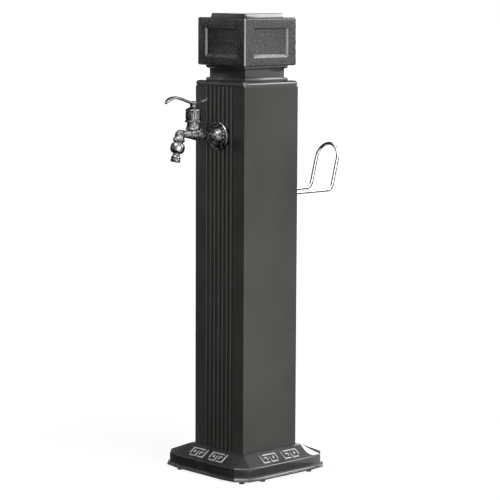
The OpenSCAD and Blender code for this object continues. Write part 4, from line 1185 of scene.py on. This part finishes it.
        # The lever is dressed in the paler bronze that paints its highlight.
        self.hand_over(lever, "handle", "lever_bronze_painted_pale", 60, "lever")

    def lever_screw(self) -> None:
        """The slotted screw on the lever."""
        rings = circles(self.screw_steps, 40, self.lever_z)
        screw = Bench.loft("lever_cap_screw", placed(rings, self.on_spindle()))
        near, far = self.spindle_y - self.slot_half, self.spindle_y + self.slot_half
        reach = self.slot_reach
        Bench.cut(screw, Bench.loft("slot_tool", [
            [(-reach, near, z), (reach, near, z), (reach, far, z), (-reach, far, z)]
            for z in (self.lever_z + up for up in self.slot_heights)
        ]))
        self.hand_over(screw, "handle", "bronze", 35, "lever_screw")

    def union(self) -> None:
        """The union nut, bulged with six soft flats, and the hose tail with its barbs."""
        def six_flats(radius: float, depth: float, angle: float) -> Flat:
            """Cuts the radius by six flats, at a share of the widest radius."""
            return min(radius, depth / math.cos(angle % (math.pi / 3) - math.pi / 6)), 0.0

        flat = self.nut_flat * self.nut_r
        rings = carved([(radius, height, flat) for radius, height in self.nut_steps], 96, six_flats)
        nut = Bench.loft("union_ring", placed(rings, self.on_outlet()), cap=False)
        self.hand_over(nut, "nut", "bronze", 30, "union_nut")
        rings = placed(circles(self.tail_steps), self.on_outlet())
        tail = Bench.loft("barbed_tail", rings, closed=True)
        self.hand_over(tail, "tail", "bronze", 35, "hose_tail")

    def build(self) -> None:
        """Builds the tap."""
        self.flange()
        self.body()
        self.bonnet()
        self.lever()
        self.lever_screw()
        self.union()


@dataclass
class HoseHook(Maker):
    """The wire hook behind the column. Sizes in millimetres."""

    wire_r: float = 3.0
    back_y: float = 65.0
    inside: float = 17.5
    half_span: float = 27.5
    height: float = 498.0
    reach: float = 123.0
    upright: float = 85.75
    lean: float = 15.0
    bend_r: float = 12.0

    def centre_line(self) -> list[Vector]:
        """The wire's centre line, from one threaded end to the other."""
        bend, lean = 90 - self.lean, math.radians(self.lean)
        lead = self.bend_r * math.tan(math.radians(bend) / 2)
        start, corner_y = self.back_y - self.inside, self.back_y + self.reach
        up = Vector((0, math.sin(lean), math.cos(lean)))
        across = Vector((self.half_span, 0, 0))
        corner = Vector((0, corner_y, self.height))
        straight = self.upright - self.half_span
        side = [
            Vector((self.half_span, start + (corner_y - lead - start) * step / 5, self.height))
            for step in range(6)
        ]
        side += [
            side[-1] + self.bend_r * Vector((0, s, 1 - c)) for c, s in arc(12, 0.0, bend)[1:]
        ]
        side += [across + corner + up * (lead + (straight - lead) * step / 3) for step in range(1, 4)]
        arch = [
            corner + up * (straight + self.half_span * s) + across * c
            for c, s in arc(32, 0.0, 180.0)[1:-1]
        ]
        return side + arch + [Vector((-p.x, p.y, p.z)) for p in reversed(side)]

    def build(self) -> None:
        """Builds the wire."""
        line = self.centre_line()
        rings: list[Ring] = []
        across = Vector((0, 0, 1))
        for i, point in enumerate(line):
            run = (line[min(i + 1, len(line) - 1)] - line[max(i - 1, 0)]).normalized()
            across = (across - run * across.dot(run)).normalized()
            other = run.cross(across)
            rings.append([
                tuple(point + (across * x + other * y) * self.wire_r) for x, y, _ in circle(1.0, 0, 24)
            ])
        wire = Bench.loft("hook_wire", rings)
        self.hand_over(wire, "standpipe", "chrome", 50, "hose_hook")


@dataclass
class Carried(Maker):
    """The source's own solids that keep their shape and only get a finish."""

    frame: dict = field(default_factory=dict)

    def build(self) -> None:
        """Dresses every solid of the frame with its slot's finish."""
        slots = {s["node"]: s["material_slot"] for s in self.frame["record"]["subparts"]}
        for name, node in self.frame["nodes"].items():
            node.data.materials.clear()
            node.data.materials.append(self.paints[slots[name]])
            LOG.info("%s dressed as %s", name, slots[name])


# The studio


@dataclass(frozen=True)
class Lamp:
    """One soft lamp, placed by its bearing from +X towards +Y and by its angle above the floor."""

    name: str
    bearing: float
    rise: float
    distance: float
    wide: float
    tall: float
    radiance: float
    tint: Colour = (1.0, 1.0, 1.0)
    lights: bool = True
    shines: bool = True

    def build(self, aim: Vector) -> None:
        """Hangs the lamp, pointing at a place."""
        data = bpy.data.lights.new(self.name, "AREA")
        data.shape = "RECTANGLE"
        data.size, data.size_y = self.wide, self.tall
        data.energy = self.radiance * math.pi * self.wide * self.tall
        data.color = self.tint
        lamp = bpy.data.objects.new(self.name, data)
        bpy.context.scene.collection.objects.link(lamp)
        turn, rise = math.radians(self.bearing), math.radians(self.rise)
        out = Vector((math.cos(turn) * math.cos(rise), math.sin(turn) * math.cos(rise), math.sin(rise)))
        lamp.location = aim + out * self.distance
        lamp.rotation_euler = (-out).to_track_quat("-Z", "Y").to_euler()
        lamp.visible_camera = False
        lamp.visible_diffuse = self.lights
        lamp.visible_glossy = self.shines


@dataclass(frozen=True)
class Card:
    """A dark or grey card that only reflections see, given by its corners."""

    name: str
    points: tuple[Point, ...]
    shade: float = 0.0

    def paint(self) -> bpy.types.Material:
        """The card's finish: dark, with a glow of its own where it is grey."""
        material, wires, shader = blank_material("card")
        wires.glow(shader, (0.02, 0.02, 0.018), self.shade)
        return material

    def build(self) -> None:
        """Puts the card up, out of sight of the camera and of the lamps' light."""
        Bench.clear()
        bpy.ops.mesh.primitive_plane_add(size=1.0)
        card = bpy.context.object
        card.name = self.name
        order = {(-1, -1): 0, (1, -1): 1, (1, 1): 2, (-1, 1): 3}
        for vert in card.data.vertices:
            corner = (int(math.copysign(1, vert.co.x)), int(math.copysign(1, vert.co.y)))
            vert.co = Vector(self.points[order[corner]])
        card.data.materials.append(self.paint())
        card.visible_camera = False
        card.visible_diffuse = False
        card.visible_shadow = False
        card.visible_transmission = False


def upright(name: str, start: Flat, end: Flat, heights: Flat, shade: float = 0.0) -> Card:
    """A card that stands over a line on the floor, from one height to another."""
    low, high = heights
    return Card(name, ((*start, low), (*end, low), (*end, high), (*start, high)), shade)


def lying(name: str, *points: Flat) -> Card:
    """A card that lies just above the floor."""
    return Card(name, tuple((x, y, ABOVE_FLOOR) for x, y in points))


@dataclass
class Studio:
    """The floor, the light and the camera."""

    camera_at: Point = (2.7290, -2.5071, 0.8877)
    look: Point = (-0.7351, 0.6779, 0.0)
    pitch: float = 7.52
    roll: float = 0.27
    lens: float = 148.9
    sensor: float = 36.0
    aim: Point = (0.0, 0.0, 0.42)
    sky_light: float = 0.2
    floor_size: float = 60.0
    floor_grey: float = 0.28
    glow_from: Flat = (0.5, 2.5)
    glow: Flat = (0.86, 1.08)
    lamps: tuple[Lamp, ...] = (
        Lamp("Key", 42, -5, 3.0, 1.1, 0.9, 2.5, shines=False),
        Lamp("Overhead", 5, 62, 2.8, 1.0, 0.8, 6.0),
        Lamp("Side", -12, -2, 3.2, 1.2, 1.5, 7.0, shines=False),
        Lamp("Fill", -158, 20, 3.4, 1.2, 1.2, 9.0, (1.0, 0.96, 0.9)),
        Lamp("Foot fill", -105, -18, 1.0, 0.9, 0.2, 1.2, (1.0, 0.94, 0.86), shines=False),
        Lamp("Foot key", 4, -18, 1.1, 0.9, 0.22, 19.0, (1.0, 0.98, 0.95), shines=False),
        Lamp("Key glint", 52, 32, 2.9, 1.3, 1.4, 8.5, lights=False),
        Lamp("Rim", 96, 10, 3.2, 0.5, 1.2, 20.0, lights=False),
        Lamp("Edge strip", -20, 8, 3.4, 0.8, 1.7, 6.0, lights=False),
        Lamp("High front", -75, 58, 2.7, 1.8, 1.8, 7.0, lights=False),
        Lamp("Corner glint", 113.8, 26.9, 3.1, 0.7, 0.27, 9.0, lights=False),
    )
    cards: tuple[Card, ...] = (
        lying("Front ground card", (-7, -9), (0.9, -9), (0.45, -0.118), (-7, -0.118)),
        upright("Left wall card", (-2.2, -6), (-2.2, 0.6), (0.0, 4.0)),
        upright("Left low card", (-2.2, 0.6), (-2.2, 2.5), (0.0, 0.7)),
        upright("Left sky card", (-2.2, 0.6), (-2.2, 2.6), (1.3, 5.0)),
        upright("Rear low card", (-2.2, 2.5), (1.0, 4.2), (0.0, 0.65)),
        lying("Rear ground card", (0.12, 0.17), (1.7, 2.3), (-3.0, 3.5), (-2.5, 0.17)),
        upright("Rear sky card", (1.0, 3.6), (-4.5, 2.6), (1.7, 5.0)),
        upright("Hook side card", (0.22, 0.24), (0.22, 0.5), (0.44, 0.56)),
        upright("Hook rear card", (0.22, 0.5), (-0.25, 0.5), (0.44, 0.545)),
        lying("Right foot card", (0.116, -0.25), (0.3, -0.25), (0.3, 0.128), (0.116, 0.128)),
        upright("Front left card", (-2.2, -3.6), (-0.6, -3.6), (0.0, 1.5)),
        upright("Front wall card", (-0.6, -3.6), (3.6, -3.6), (0.0, 1.5), 0.35),
        upright("Right wall card", (3.6, -3.6), (3.6, 0.6), (0.0, 1.5), 0.35),
    )

    def camera(self) -> None:
        """The camera at the photograph's viewing angle."""
        data = bpy.data.cameras.new("Camera")
        data.lens = self.lens
        data.sensor_width = self.sensor
        data.clip_end = 100.0
        camera = bpy.data.objects.new("Camera", data)
        bpy.context.scene.collection.objects.link(camera)
        camera.location = self.camera_at
        pitch = math.radians(self.pitch)
        aim = Vector(self.look) * math.cos(pitch) - Vector((0, 0, math.sin(pitch)))
        level = aim.to_track_quat("-Z", "Y")
        camera.rotation_euler = (level @ Quaternion((0, 0, 1), math.radians(self.roll))).to_euler()
        bpy.context.scene.camera = camera

    @staticmethod
    def seen(wires: Wires) -> Socket:
        """A value of 1 where the camera, a reflection or a clear piece looks, and 0 elsewhere."""
        path = wires.add("LightPath", {}).outputs
        shiny = wires.maths("MAXIMUM", path["Is Camera Ray"], path["Is Glossy Ray"])
        return wires.maths("MAXIMUM", shiny, path["Is Transmission Ray"])

    def world(self) -> None:
        """A plain world: white where it is seen, softer as light."""
        world = bpy.data.worlds.new("World")
        bpy.context.scene.world = world
        world.use_nodes = True
        wires = Wires(world.node_tree)
        wires.feed(world.node_tree.nodes["Background"], {
            "Color": (1, 1, 1, 1),
            "Strength": wires.span(self.seen(wires), 0.0, 1.0, (self.sky_light, 1.0)),
        })

    def floor(self) -> None:
        """A plain floor that is seen as white and keeps the object's shadow."""
        Bench.clear()
        bpy.ops.mesh.primitive_plane_add(size=self.floor_size)
        floor = bpy.context.object
        floor.name = "Floor"
        material, wires, shader = blank_material("pale floor")
        away = wires.add("VectorMath", {0: wires.place()}, operation="LENGTH").outputs["Value"]
        glow = wires.span(away, *self.glow_from, self.glow)
        wires.glow(shader, (self.floor_grey,) * 3, wires.maths("MULTIPLY", glow, self.seen(wires)))
        floor.data.materials.append(material)

    def build(self) -> None:
        """Sets up the studio."""
        bpy.context.scene.view_settings.view_transform = "Standard"
        self.camera()
        self.world()
        self.floor()
        for lamp in self.lamps:
            lamp.build(Vector(self.aim))
        for card in self.cards:
            card.build()


def main() -> None:
    """Builds the scene."""
    logging.basicConfig(level=logging.INFO, format="%(message)s")
    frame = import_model()
    effects = Effects()
    paints = {key: finish.build(effects) for key, finish in FINISHES.items()}
    Studio().build()
    Carried(paints, frame).build()
    for maker in (Base(paints), Column(paints), Cap(paints), Tap(paints), HoseHook(paints)):
        maker.build()
        LOG.info("%s is built", type(maker).__name__)
    Bench.clear()


if __name__ == "__main__":
    main()
